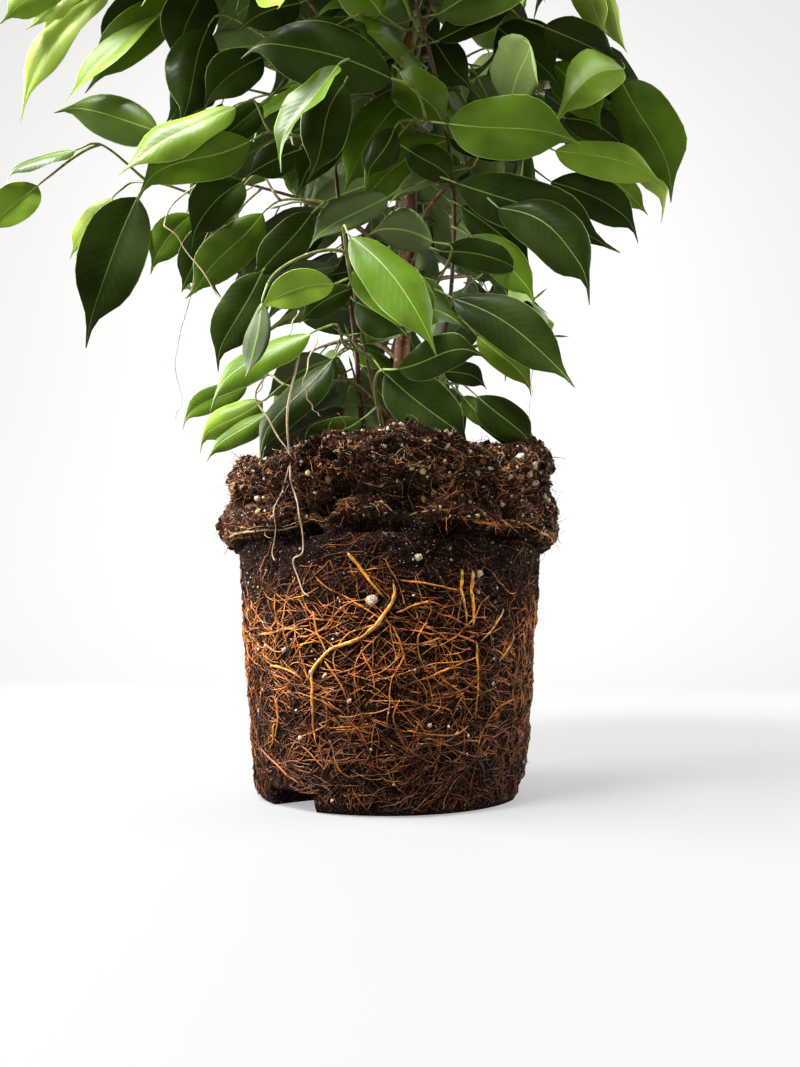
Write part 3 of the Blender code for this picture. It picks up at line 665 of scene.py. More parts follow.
def share_along(path, spot):
    """How far along a path the spot lies, from 0 to 1."""
    lengths = [(b - a).length for a, b in zip(path, path[1:])]
    best, walked = (1e9, 0.0), 0.0
    for a, b, length in zip(path, path[1:], lengths):
        t = min(1.0, max(0.0, (spot - a).dot(b - a) / (length * length)))
        best = min(best, ((a.lerp(b, t) - spot).length, walked + t * length))
        walked += length
    return best[1] / walked


def cut_path(path, share):
    """The first part of a path, up to a share of its length."""
    rest = share * sum((b - a).length for a, b in zip(path, path[1:]))
    made = [path[0]]
    for a, b in zip(path, path[1:]):
        length = (b - a).length
        if rest <= length:
            made.append(a.lerp(b, rest / length))
            return made
        made.append(b)
        rest -= length
    return made


def in_outline(outline, x, z):
    inside = False
    for (ax, az), (bx, bz) in zip(outline, outline[1:] + outline[:1]):
        if (az > z) != (bz > z) and x < ax + (z - az) * (bx - ax) / (bz - az):
            inside = not inside
    return inside


def in_opening(points):
    """True where any of the points, or the middle of the leaf, stands before or behind an opening."""
    spots = list(points)
    if len(points) == LEAF_CORNERS:
        for a, b in combinations(points[:5], 2):
            spots += [a.lerp(b, 0.33), a.lerp(b, 0.67)]
    for point in spots:
        to = point - FRONT_POINT
        x, z = to.x / to.y * 1000, to.z / to.y * 1000
        for outline, (left, right, low, high) in zip(OPENINGS, OPENING_BOXES):
            if left < x < right and low < z < high and in_outline(outline, x, z):
                return True
    return False


def tree_of(solid):
    return BVHTree.FromPolygons(*solid)


def twig_limb(points, radius):
    count = len(points) - 1
    radii = [radius + (TWIG_TIP_RADIUS - radius) * i / count for i in range(count + 1)]
    return Limb("twig", points, radii, 3)


def outward_from_trunk(point):
    out = Vector((point.x, point.y, 0))
    return out.normalized() if out.length > 1e-4 else Vector((0, -1, 0))


def random_way(rng, steep):
    """A random vector whose upward part is at most steep."""
    return Vector((rng.uniform(-1, 1), rng.uniform(-1, 1), rng.uniform(-steep, steep)))


def aimed_leaf(rng, base, twig_direction, side, attempt):
    """A leaf off a twig: it hangs out and down, with its face outwards. Later attempts stray further."""
    stray = min(1.0, 0.2 + attempt * 0.03)
    across = twig_direction.cross(UP)
    across = across.normalized() if across.length > 1e-3 else Vector((1, 0, 0))
    out = outward_from_trunk(base)
    loose = random_way(rng, 0.6)
    hang = rng.uniform(0.25, 1.15)
    along = twig_direction * 0.45 + out * 0.15 + across * (side * 0.7) - UP * hang + loose * stray
    along.normalize()
    wish = UP * 0.45 + out * 0.9
    wish += random_way(rng, 0.3) * 0.4
    face = wish - along * wish.dot(along)
    if face.length < 0.2:
        face = UP - along * along.z
    shrink = 1.0 - 0.007 * max(0, attempt - 10)
    length = LEAF_LENGTH * rng.uniform(0.82, 1.04) * shrink
    return Leaf(base, along, face.normalized(), length, LEAF_WIDTH * rng.uniform(0.88, 1.12) * shrink)


@dataclass(eq=False)
class Part:
    """A twig or leaf that has grown: its form, its tree for tests of what touches, and the twig it is on."""

    form: object
    tree: BVHTree
    carrier: object = None


class Foliage:
    """Grows one mass: side twigs in turn along its stem, then leaves in turn along them all."""

    def __init__(self, stem, space, obstacles, rng):
        self.space, self.obstacles, self.rng = space, obstacles, rng
        self.twigs, self.leaves = [], []
        self.leaf_tries, self.leaf_spacing = LEAF_TRIES, LEAF_SPACING
        self.add_twig(stem, BOUGH_TIP_RADIUS, None)

    def fits(self, solid, carrier):
        """True where the solid keeps to the space and clear of all but the twig that it springs from."""
        if not self.space.holds(solid[0]):
            return False
        tree = tree_of(solid)
        near = self.obstacles + [leaf.tree for leaf in self.leaves]
        near += [twig.tree for twig in self.twigs if twig is not carrier]
        return not any(tree.overlap(other) for other in near)

    def add_twig(self, points, radius, carrier):
        twig = twig_limb(points, radius)
        solid = closed_tube(tube_rings(twig))
        if carrier and not self.fits(solid, carrier):
            return False
        self.twigs.append(Part(twig, tree_of(solid), carrier))
        return True

    def add_side_twig(self, base, direction, side, length, carrier):
        across = direction.cross(UP).normalized()
        for attempt in range(TWIG_TRIES):
            aim = direction * 0.65 + across * (side * self.rng.uniform(0.4, 1.0))
            aim += UP * self.rng.uniform(-0.45, 0.55)
            aim.normalize()
            reach = length * self.rng.uniform(0.75, 1.1) * (1 - 0.05 * attempt)
            middle = base + aim * (reach * 0.5)
            aim = (aim - UP * 0.3).normalized()
            if self.add_twig([base, middle, middle + aim * (reach * 0.5)], TWIG_RADIUS, carrier):
                return

    def add_leaf(self, base, direction, side, carrier):
        for attempt in range(self.leaf_tries):
            leaf = aimed_leaf(self.rng, base, direction, side, attempt)
            solid = leaf_solid(leaf)
            if self.fits(solid, carrier):
                self.leaves.append(Part(leaf, tree_of(solid), carrier))
                return

    def add_leaves_along(self, carrier, first):
        """Leaves in turn on either side of a twig, from a share of its length on, and one at the tip."""
        points = carrier.form.points
        lengths = [(b - a).length for a, b in zip(points, points[1:])]
        total = sum(lengths)
        along, side = total * first, self.rng.choice((-1, 1))
        while along < total:
            rest, segment = along, 0
            while rest > lengths[segment]:
                rest -= lengths[segment]
                segment += 1
            direction = (points[segment + 1] - points[segment]).normalized()
            self.add_leaf(points[segment] + direction * rest, direction, side, carrier)
            side = -side
            along += self.leaf_spacing * self.rng.uniform(0.85, 1.15)
        direction = (points[-1] - points[-2]).normalized()
        self.add_leaf(points[-1] - direction * (TWIG_RADIUS * 1.5), direction, 0, carrier)

    def add_twigs_along(self, carrier, spacing, length):
        points, side = carrier.form.points, 1
        for a, b in zip(points, points[1:]):
            direction = (b - a).normalized()
            count = max(1, round((b - a).length / spacing))
            for k in range(count):
                self.add_side_twig(a.lerp(b, (k + 0.6) / count), direction, side, length, carrier)
                side = -side

    def grow(self):
        self.add_twigs_along(self.twigs[0], TWIG_SPACING, TWIG_LENGTH)
        for twig in self.twigs[1:]:
            self.add_leaves_along(twig, BARE_TWIG)
        self.add_leaves_along(self.twigs[0], BARE_STEM)

    def make_way(self, trees):
        """Drops the leaves and side twigs that stand where a set leaf hangs, or where the sky shows."""
        gone = set()

        def stands(part):
            return part.carrier not in gone and not any(part.tree.overlap(tree) for tree in trees)

        for twig in self.twigs[1:]:
            if not stands(twig):
                gone.add(twig)
        self.twigs = [twig for twig in self.twigs if twig not in gone]
        kept = [leaf for leaf in self.leaves if stands(leaf)]
        self.leaves = [leaf for leaf in kept if not in_opening(leaf_solid(leaf.form)[0])]
        self.obstacles = self.obstacles + trees
        self.space.shuts_openings = True

    def prune(self):
        """(is the stem, points) of each twig that carries something, cut behind the last thing on it."""
        reach = {twig: 0.0 for twig in self.twigs}

        def carry(twig, spot):
            reach[twig] = max(reach[twig], share_along(twig.form.points, spot))

        for leaf in self.leaves:
            carry(leaf.carrier, leaf.form.base)
        for twig in reversed(self.twigs[1:]):
            if reach[twig] > 0:
                carry(twig.carrier, twig.form.points[0])
        return [
            (twig is self.twigs[0], cut_path(twig.form.points, min(1.0, share + 0.02)))
            for twig, share in reach.items() if share > 0
        ]

    def grow_finer(self, rng):
        self.rng = rng
        self.leaf_tries, self.leaf_spacing = FINE_LEAF_TRIES, FINE_LEAF_SPACING
        older = list(self.twigs)
        self.add_twigs_along(older[0], FINE_TWIG_SPACING, FINE_TWIG_LENGTH)
        for twig in older[1:]:
            self.add_twigs_along(twig, FINE_TWIG_SPACING * 1.6, FINE_TWIG_LENGTH)
        for twig in self.twigs[len(older):]:
            self.add_leaves_along(twig, 0.15)
        for twig in older:
            self.add_leaves_along(twig, 0.1)


# ---------------------------------------------------------------- mesh making


def new_object(name, data):
    made = bpy.data.objects.new(name, data)
    bpy.context.scene.collection.objects.link(made)
    return made


def unit(vectors):
    return vectors / np.maximum(np.linalg.norm(vectors, axis=-1, keepdims=True), 1e-12)


def add_piece(name, points, face_blocks, materials, replaced=(), uv=None, smooth=True):
    """One mesh that rides on the root body. Each face block is (corners of equal count, material numbers)."""
    mesh = bpy.data.meshes.new(name)
    mesh.vertices.add(len(points))
    mesh.vertices.foreach_set("co", np.asarray(points, np.float32).ravel())
    corners = np.concatenate([faces.ravel() for faces, _ in face_blocks])
    sizes = np.concatenate([np.full(len(faces), faces.shape[1]) for faces, _ in face_blocks])
    indices = np.concatenate([np.broadcast_to(kinds, len(faces)) for faces, kinds in face_blocks])
    mesh.loops.add(len(corners))
    mesh.loops.foreach_set("vertex_index", corners.astype(np.int32))
    mesh.polygons.add(len(sizes))
    mesh.polygons.foreach_set("loop_start", np.concatenate([[0], np.cumsum(sizes)[:-1]]).astype(np.int32))
    mesh.polygons.foreach_set("material_index", indices.astype(np.int32))
    mesh.polygons.foreach_set("use_smooth", np.full(len(sizes), smooth))
    if uv is not None:
        layer = mesh.uv_layers.new(name="Blade")
        layer.uv.foreach_set("vector", np.asarray(uv, np.float32)[corners].ravel())
    mesh.update(calc_edges=True)
    mesh.validate()
    for material in materials:
        mesh.materials.append(material)
    piece = new_object(name, mesh)
    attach(piece, "root")
    if replaced:
        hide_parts(*replaced)


def smooth_path(points, steps):
    """A smooth curve through the points, with that many steps between each two of them."""
    p = np.array([tuple(q) for q in points], float)
    padded = np.vstack([2 * p[0] - p[1], p, 2 * p[-1] - p[-2]])
    t = np.linspace(0, 1, steps, endpoint=False)[:, None]
    made = []
    for a, b, c, d in zip(padded, padded[1:], padded[2:], padded[3:]):
        bend = 2 * b + (c - a) * t + (2 * a - 5 * b + 4 * c - d) * t**2 + (3 * b - a - 3 * c + d) * t**3
        made.append(bend / 2)
    return np.vstack(made + [p[-1:]])


def along_path(values, steps):
    """Values given at a path's points, carried to the points that smooth_path makes."""
    count = len(values)
    return np.interp(np.linspace(0, count - 1, (count - 1) * steps + 1), range(count), values)


class Tubes:
    """Gathers tapering tubes into one mesh: rings of points, quads between them, and a cap at each end."""

    def __init__(self, sides):
        self.sides, self.parts, self.count = sides, [], 0
        k = np.arange(sides)
        turn = math.tau * k / sides
        self.cos, self.sin = np.cos(turn)[None, :, None], np.sin(turn)[None, :, None]
        self.quad = np.stack([k, (k + 1) % sides, (k + 1) % sides + sides, k + sides], axis=1)

    def add(self, path, radii, kind=0, reference=None, relief=None):
        path = np.asarray(path, float)
        radii = np.broadcast_to(np.asarray(radii, float), len(path))
        tangent = unit(np.gradient(path, axis=0))
        if reference is None:
            overall = unit(path[-1] - path[0])
            reference = np.array([0, 1, 0]) if abs(overall[2]) > 0.9 else np.array([0, 0, 1])
        side = unit(np.cross(tangent, reference))
        other = np.cross(tangent, side)
        out = side[:, None] * self.cos + other[:, None] * self.sin
        rings = path[:, None] + out * radii[:, None, None]
        if relief is not None:
            rings = rings + out * relief(rings)[..., None]
        steps = len(path) - 1
        quads = (self.quad[None] + np.arange(steps)[:, None, None] * self.sides).reshape(-1, 4)
        cap = np.arange(self.sides)
        caps = np.stack([cap[::-1], cap + steps * self.sides])
        kinds, cap_kinds = np.full(len(quads), kind), np.full(2, kind)
        self.parts.append((rings.reshape(-1, 3), quads + self.count, kinds, caps + self.count, cap_kinds))
        self.count += len(path) * self.sides

    def piece(self, name, materials, slot, replaced=()):
        points, quads, kinds, caps, cap_kinds = (np.concatenate(column) for column in zip(*self.parts))
        add_piece(name, points, [(quads, kinds), (caps, cap_kinds)], materials, replaced)


def lump_shape(level):
    """Points and faces of a lump of 8, 20 or 80 triangles, for level 0, 1 or 2."""
    lump = bmesh.new()
    if level:
        bmesh.ops.create_icosphere(lump, subdivisions=level, radius=1)
    else:
        bmesh.ops.create_uvsphere(lump, u_segments=4, v_segments=2, radius=1)
    lump.verts.index_update()
    points = np.array([corner.co for corner in lump.verts])
    faces = np.array([[corner.index for corner in face.verts] for face in lump.faces])
    lump.free()
    return points, faces


def scatter_lumps(name, places, radii, kinds, materials, rng, level, stretch=0.35):
    """Many uneven lumps in one mesh, each with its own turn and proportions."""
    shape, faces = lump_shape(level)
    count, corners = len(places), len(shape)
    turn = rng.normal(size=(count, 4))
    turn /= np.linalg.norm(turn, axis=1, keepdims=True)
    w, x, y, z = turn.T
    matrix = np.stack([
        1 - 2 * (y * y + z * z), 2 * (x * y - w * z), 2 * (x * z + w * y),
        2 * (x * y + w * z), 1 - 2 * (x * x + z * z), 2 * (y * z - w * x),
        2 * (x * z - w * y), 2 * (y * z + w * x), 1 - 2 * (x * x + y * y),
    ], axis=1).reshape(count, 3, 3)
    uneven = shape[None] * (1 + rng.uniform(-0.22, 0.22, (count, corners, 1)))
    uneven = uneven * (1 + rng.uniform(-stretch, stretch, (count, 1, 3)))
    points = np.einsum("nij,nkj->nki", matrix, uneven) * radii[:, None, None] + places[:, None]
    blocks = (faces[None] + (np.arange(count) * corners)[:, None, None]).reshape(-1, 3)
    material_of = np.repeat(kinds, len(faces))
    add_piece(name, points.reshape(-1, 3), [(blocks, material_of)], materials, smooth=level == 2)


# ---------------------------------------------------------------- skin of the root ball


SKIN_COLUMNS = 500
BODY_STEP = 0.0013
COLLAR_STEP = 0.0011
TOP_STEP = 0.0019
SHOULDER_FILL = 0.0046  # squares off the collar's upper edge
# How far the upper edge sinks below the cast: azimuth in degrees and depth in millimetres
EDGE_DROP = np.array((
    (0, -2), (25, 2), (60, -1), (95, 4), (130, 0), (160, 2), (180, -5), (192, -1), (202, 3), (212, 5),
    (242, 5), (251, 1.5), (260, 5), (270, 0), (280, -1.5), (290, 5), (300, 8.5), (311, 8), (321, 4),
    (330, -2), (360, -2),
)).T


def smoothstep(low, high, value):
    share = min(1.0, max(0.0, (value - low) / (high - low)))
    return share * share * (3 - 2 * share)


def skin_rows():
    """(height, radius, roughness, share of the break) of each row, from the foot's middle to the top's."""
    rings = ball_rings()
    rows = [(0.0, radius, 0.0, 0.0) for radius in (0.0006, 0.018, 0.036, 0.050)]
    marks = [ring[0] for ring in rings]
    table = np.array(rings)
    heights = [0.0, 0.0018, 0.004, 0.0064, SLOT_HEIGHT - 0.0002, SLOT_HEIGHT + 0.0004]
    heights += list(np.arange(SLOT_HEIGHT + 0.0016, LEDGE_HEIGHT - 0.0036, BODY_STEP))
    for height in heights:
        rows.append((height, *(np.interp(height, marks, table[:, k]) for k in (1, 2, 3))))
    for low, high in zip(table[5:], table[6:]):
        step = COLLAR_STEP if low[0] < SHOULDER_HEIGHT + 0.008 else TOP_STEP
        count = max(1, round(math.hypot(high[0] - low[0], high[1] - low[1]) / step))
        rows += [tuple(low + (high - low) * k / count) for k in range(count)]
    top = table[-1]
    for radius in np.arange(SOIL_PATCH_RADIUS, 0.0012, -TOP_STEP):
        rows.append((top[0], radius, 2.0, 0.0))
    rows.append((top[0], 0.0006, 2.0, 0.0))
    return np.array(rows)


def crumb(place, scale):
    """How high rounded crumbs stand at a place, from 0 in the cracks to 1."""
    return 1 - min(1.0, noise.voronoi(place * scale)[0][0] * 1.15)


def slot_share(azimuth, height):
    """1 inside a drain slot of the foot, fading to 0 over its side walls."""
    if height >= SLOT_HEIGHT:
        return 0.0
    slots = [FIRST_SLOT_AZIMUTH + 360 / SLOT_COUNT * n for n in range(SLOT_COUNT)]
    off = math.radians(min(abs(angle_from(azimuth, slot)) for slot in slots)) * FOOT_RADIUS
    return 1 - smoothstep(SLOT_WIDTH / 2 - 0.0015, SLOT_WIDTH / 2 + 0.0004, off)


def crosses_slot(path):
    """True where a root would hang over or into a drain slot."""
    low = path[path[:, 2] < SLOT_HEIGHT]
    return any(slot_share(azimuth_of(Vector(place)), 0.0) > 0 for place in low)


class Skin:
    """The relief of the root ball as a grid of points: rows up the profile, columns round it."""

    def __init__(self, body_relief, collar_relief):
        self.body_relief, self.collar_relief = body_relief, collar_relief
        self.rows = skin_rows()
        count = len(self.rows)
        self.points = np.zeros((count, SKIN_COLUMNS, 3))
        slope = np.gradient(self.rows[:, :2], axis=0)
        ledge = LEDGE_HEIGHT - 0.004
        for r, (height, radius, roughness, broken) in enumerate(self.rows):
            rise, run = slope[r]
            length = math.hypot(rise, run) or 1.0
            out_share, up_share = rise / length, -run / length
            on_top = height > SHOULDER_HEIGHT + 0.004
            for c in range(SKIN_COLUMNS):
                azimuth = 360 * c / SKIN_COLUMNS
                out = heading(azimuth, 0)
                place = cast_point(azimuth, height, radius, roughness, broken)
                if radius > 0.06 and height < SLOT_HEIGHT:
                    place = self.in_slot(place, out, azimuth, height)
                if height > 0.001:
                    amount = self.relief(place, azimuth, height, ledge, on_top)
                    if radius < 0.04 and on_top:
                        amount = max(amount, 0.0002)
                    place = place + out * (out_share * amount) + UP * (up_share * amount)
                    near_edge = smoothstep(0.160, 0.186, height) * smoothstep(0.036, 0.074, radius)
                    place.z -= np.interp(azimuth, *EDGE_DROP) * MM * near_edge
                    place.z = max(place.z, 0.0)
                self.points[r, c] = place
        wrapped = np.concatenate([self.points[:, -1:], self.points, self.points[:, :1]], axis=1)
        across = np.gradient(wrapped, axis=1)[:, 1:-1]
        self.normals = unit(np.cross(across, np.gradient(self.points, axis=0)))
        self.first_collar_row = int(np.argmax(self.rows[:, 0] > LEDGE_HEIGHT - 0.0031))
        self.outer_rows = np.arange(4, count)
        self.outer_heights = self.rows[4:, 0]

    def in_slot(self, place, out, azimuth, height):
        share = slot_share(azimuth, height)
        if share <= 0:
            return place
        ragged = 0.0015 * noise.noise(place * 260)
        return place - out * (SLOT_DEPTH * share + ragged)

    def relief(self, place, azimuth, height, ledge, on_top):
        """How far the crumbs stand out of the cast here."""
        if height < ledge:
            rough = self.body_relief
            amount = rough * noise.noise(place * 130) + 0.6 * rough * noise.noise(place * 330)
            amount += 0.8 * rough * (crumb(place, 330) - 0.5)
            amount *= smoothstep(0.0, 0.006, height)
            amount -= 0.0002
        else:
            rough = self.collar_relief
            amount = 0.9 * rough * noise.noise(place * 62) + 0.9 * rough * (crumb(place, 130) - 0.55)
            amount += 0.7 * rough * (crumb(place, 300) - 0.5) + 0.45 * rough * noise.noise(place * 560)
            amount += 1.3 * rough * (crumb(place, 56) - 0.6) * smoothstep(0.146, 0.165, height)
            pit = noise.noise(place * 84 + Vector((7, 3, 1)))
            amount -= 2.6 * rough * smoothstep(0.22, 0.55, pit)
            corner = smoothstep(0.174, 0.187, height) * (1 - smoothstep(0.1925, 0.1955, height))
            amount += SHOULDER_FILL * corner * (0.75 + 0.7 * noise.noise(place * 34))
            lip = 1 - min(1.0, abs(height - LEDGE_HEIGHT - 0.0005) / 0.0035)
            amount = amount * (1 - 0.65 * lip) - 0.0008 * lip
            if on_top:
                amount += 0.0012
        for at, level, half_width, half_height, depth in HOLLOWS:
            across = math.radians(angle_from(azimuth, at)) * RIM_RADIUS / (half_width * MM)
            up = (height - level * MM) / (half_height * MM)
            near = across * across + up * up
            if near < 6:
                ragged = 1 + 0.5 * noise.noise(place * 240)
                amount -= depth * MM * math.exp(-(near**1.4) * ragged)
        return amount

    def at(self, azimuth, height):
        """Points and outward normals on the outer face at those azimuths and heights."""
        row = np.interp(height, self.outer_heights, self.outer_rows)
        column = (np.asarray(azimuth) % 360) / 360 * SKIN_COLUMNS
        return self.at_cell(row, column)

    def at_cell(self, row, column):
        low = np.clip(np.floor(row).astype(int), 0, len(self.rows) - 2)
        left = np.floor(column).astype(int) % SKIN_COLUMNS
        right = (left + 1) % SKIN_COLUMNS
        up = (row - low)[..., None]
        over = (column - np.floor(column))[..., None]
        made = []
        for grid in (self.points, self.normals):
            lower = grid[low, left] * (1 - over) + grid[low, right] * over
            upper = grid[low + 1, left] * (1 - over) + grid[low + 1, right] * over
            made.append(lower * (1 - up) + upper * up)
        return made[0], unit(made[1])

    def piece(self, name, first, last, material, replaced=()):
        rows = last - first
        r = np.arange(rows - 1)[:, None]
        c = np.arange(SKIN_COLUMNS)[None]
        after = (c + 1) % SKIN_COLUMNS
        low, high = r * SKIN_COLUMNS, (r + 1) * SKIN_COLUMNS
        blocks = [(np.stack([low + c, low + after, high + after, high + c], axis=-1).reshape(-1, 4), 0)]
        if first == 0:
            blocks.append((c[:, ::-1], 0))
        if last == len(self.rows):
            blocks.append((c + (rows - 1) * SKIN_COLUMNS, 0))
        add_piece(name, self.points[first:last].reshape(-1, 3), blocks, [material], replaced)


ROOT_LIFT = 0.0006  # how high a creeping root stands where it leaves the peat
MEAN_RADIUS = 0.084  # of the ball below the ledge
PAINTED_SHADE_BAND = (0.106, 0.139)  # the heights under the ledge where most roots are made dark, as painted shade under the ledge's overhang


def wandering_roots(rng, skin, count, steps, step, radii, heights, level_share):
    """Roots that creep over the skin, turning a little at every step, and weave in and out of the peat."""
    low, high = heights
    azimuth = rng.uniform(0, 360, count)
    height = low + (high - low) * rng.beta(1.2, 1.35, count)
    level = rng.random(count) < level_share
    aim = np.where(level, rng.normal(0, 0.45, count), rng.uniform(-math.pi, math.pi, count))
    aim = aim + np.where(rng.random(count) < 0.5, math.pi, 0)
    beside = np.abs(np.cos(np.radians(azimuth))) ** 6 > rng.random(count) * 1.2
    aim = np.where(beside, rng.normal(-math.pi / 2, 0.22, count), aim)
    bend = rng.normal(0, 0.06, count)
    azimuths, levels = [azimuth], [height]
    for _ in range(steps):
        bend = bend * 0.75 + rng.normal(0, 0.07, count)
        aim = aim + bend + rng.normal(0, 0.14, count)
        azimuth = azimuth + np.degrees(np.cos(aim) * step / MEAN_RADIUS)
        height = height + np.sin(aim) * step
        out_of_range = (height > high) | (height < low)
        aim = np.where(out_of_range, -aim, aim)
        height = np.clip(height, low, high)
        azimuths.append(azimuth)
        levels.append(height)
    azimuths, levels = np.stack(azimuths, 1), np.stack(levels, 1)
    places, normals = skin.at(azimuths, levels)
    share = np.linspace(0, 1, steps + 1)[None]
    size = rng.uniform(*radii, count)[:, None] * (1 - 0.55 * share)
    beats, phase = rng.uniform(0.7, 2.2, (count, 1)), rng.uniform(0, math.tau, (count, 1))
    weave = np.sin(share * math.tau * beats + phase)
    stand = size * 0.5 + ROOT_LIFT * (0.5 + 0.5 * weave)
    stand = np.where((share < 0.02) | (share > 0.98), -size, stand)
    return places + normals * stand[..., None], size, normals


def fibres(tubes, skin, rng, count, azimuths, heights, lengths, radii, kinds, stand):
    """Short loose fibres that stand off the skin and bend as they go."""
    azimuth = rng.uniform(*azimuths, count)
    height = rng.uniform(*heights, count)
    places, normals = skin.at(azimuth, height)
    for place, normal, kind in zip(places, normals, rng.choice(kinds, count)):
        aim = unit(rng.normal(size=3) + normal * rng.uniform(*stand))
        bend = rng.normal(size=3) * 0.35
        length = rng.uniform(*lengths)
        path, at = [place - normal * 0.0012], place - normal * 0.0012
        for _ in range(5):
            at = at + aim * (length / 5)
            aim = unit(aim + bend + rng.normal(size=3) * 0.16)
            path.append(at)
        radius = rng.uniform(*radii)
        path = np.array(path)
        path[:, 2] = np.maximum(path[:, 2], 0.0006)
        tubes.add(path, radius * np.array([1, 1, 0.95, 0.8, 0.6, 0.3]), kind)


# ---------------------------------------------------------------- blades


# Share of the length at each row of a blade, and its width there as a share of the widest
BLADE_ROWS, BLADE_WIDTHS = np.array((
    (0, 0.05), (0.025, 0.22), (0.06, 0.42), (0.11, 0.61), (0.17, 0.77), (0.25, 0.91), (0.34, 0.98), (0.44, 1),
    (0.54, 0.97), (0.64, 0.87), (0.72, 0.70), (0.78, 0.47), (0.84, 0.23), (0.91, 0.09), (1, 0.018),
)).T
TOP_COLUMNS = np.array((-1, -0.974, -0.62, -0.28, -0.02, 0.02, 0.28, 0.62, 0.974, 1))
BLADE_BOW = 0.088  # how far the rib bows up in the plane of the blade, as a share of the length
UNDER_COLUMNS = np.array((-0.58, -0.10, 0.10, 0.58))
UPPER, RIB_AND_EDGE_HIGHLIGHT, UNDER = range(3)


@dataclass
class Blade:
    """A blade from the end of its stalk to its tip. Its face is the glossy side."""

    kind: int
    base: Vector
    tip: Vector
    face: Vector
    width: float
    arch: float


def blade_points(blades, rng):
    """Points of every blade: for each row the ten of the upper side, then the four inside the underside."""
    count = len(blades)
    base = np.array([tuple(b.base) for b in blades])
    chord = np.array([tuple(b.tip) for b in blades]) - base
    length = np.linalg.norm(chord, axis=1)
    along = chord / length[:, None]
    face = np.array([tuple(b.face) for b in blades])
    face = unit(face - along * np.sum(face * along, axis=1, keepdims=True))
    across = np.cross(face, along)
    half = np.array([b.width for b in blades])[:, None] / 2 * BLADE_WIDTHS[None]
    u = BLADE_ROWS[None]
    arch = np.array([b.arch for b in blades])[:, None] * u * (1 - u)
    end = np.clip((u - 0.76) / 0.24, 0, 1) ** 2

    def loose(spread):
        return rng.normal(0, spread, (count, 1))

    def ranged(low, high):
        return rng.uniform(low, high, (count, 1))

    curl = ranged(-0.08, 0.16) * np.clip((u - 0.72) / 0.28, 0, 1) ** 2
    bend = loose(0.030) * np.sin(math.pi * u) + loose(0.012) * np.sin(math.tau * u)
    hook = (loose(0.045) - 0.035 * across[:, 2:]) * end
    bow = BLADE_BOW * ranged(0.35, 1.3) * across[:, 2:] * (2.6 * u * (1 - u * u))
    lift = (arch - curl) * length[:, None]
    sway = (bend + hook + bow) * length[:, None]
    twist = loose(0.16) * (u - 0.3)
    fold, cup = ranged(0.12, 0.55), ranged(0.15, 0.75)
    ruffle = np.array([1.7 if b.kind == YOUNG else 1.0 for b in blades])[:, None]
    wave, beats, phase = ranged(0.05, 0.19) * ruffle, ranged(1.2, 2.6), ranged(0, math.tau)
    rows, tops, unders = len(BLADE_ROWS), len(TOP_COLUMNS), len(UNDER_COLUMNS)
    shares = np.concatenate([TOP_COLUMNS, UNDER_COLUMNS])
    s = np.broadcast_to(shares[None, None], (count, rows, tops + unders)).copy()
    rib = np.clip(RIB_HALF_WIDTH * (1.25 - 0.85 * u) / half, 0.010, 0.20)
    s[..., 4], s[..., 5] = -rib, rib
    s[..., tops + 1], s[..., tops + 2] = -1.7 * rib, 1.7 * rib
    size = np.abs(s)
    rise = fold[..., None] * size - cup[..., None] * size**2
    ripple = np.sin(math.tau * beats * u + phase)[..., None] * np.where(s > 0, 1.0, -0.7)
    rise = rise + wave[..., None] * ripple * size**2
    raised = half[..., None] * rise
    raised[..., tops:] -= BLADE_DEPTH * np.minimum(1, half / 0.002)[..., None]
    raised[..., tops + 1:tops + 3] -= (0.0005 * (1 - 0.8 * u) * np.minimum(1, half / 0.003))[..., None]
    cos, sin = np.cos(twist)[..., None], np.sin(twist)[..., None]
    side = across[:, None] * cos + face[:, None] * sin
    top = face[:, None] * cos - across[:, None] * sin
    centre = base[:, None] + chord[:, None] * u[..., None] + face[:, None] * lift[..., None]
    centre = centre + across[:, None] * sway[..., None]
    points = centre[:, :, None] + side[:, :, None] * (half[..., None] * s)[..., None]
    points = points + top[:, :, None] * raised[..., None]
    uv = np.stack([s * 0.5 + 0.5, np.broadcast_to(u[..., None], s.shape)], axis=-1)
    return points, uv


def blade_faces():
    """Quads of one blade, and for each its material. The edges have the rib's pale finish, partly the leaf's
    own paler margin and partly a painted highlight along the edge.
    """
    tops, unders = len(TOP_COLUMNS), len(UNDER_COLUMNS)
    wide = tops + unders
    quads, kinds = [], []
    below = [0] + list(range(tops, tops + unders)) + [tops - 1]
    for row in range(len(BLADE_ROWS) - 1):
        low, high = row * wide, (row + 1) * wide
        for c in range(tops - 1):
            quads.append((low + c, high + c, high + c + 1, low + c + 1))
            # the edge strips take the rib's pale finish: partly the leaf's own paler margin, partly a painted
            # highlight
            kinds.append(RIB_AND_EDGE_HIGHLIGHT if c in (0, 4, 8) else UPPER)
        for a, b in zip(below, below[1:]):
            quads.append((low + a, low + b, high + b, high + a))
            kinds.append(RIB_AND_EDGE_HIGHLIGHT if (a, b) == (tops + 1, tops + 2) else UNDER)
    return np.array(quads), np.array(kinds)


def blades_piece(name, blades, materials, rng, replaced=()):
    points, uv = blade_points(blades, rng)
    quads, kinds = blade_faces()
    per_blade = points.shape[1] * points.shape[2]
    starts = np.arange(len(blades))[:, None, None] * per_blade
    faces = (quads[None] + starts).reshape(-1, 4)
    blocks = [(faces, np.tile(kinds, len(blades)))]
    add_piece(name, points.reshape(-1, 3), blocks, materials, replaced, uv.reshape(-1, 2))


# ---------------------------------------------------------------- sprays


CLEARING_DEPTH = 0.075
CLEARING_SHARE = 0.80
CLEARING_OUTLINE = (
    (0.12, -0.34), (0.4, -0.5), (0.7, -0.33), (0.92, 0), (0.7, 0.33), (0.4, 0.5), (0.12, 0.34),
)
SPRAY_STALK = 0.013
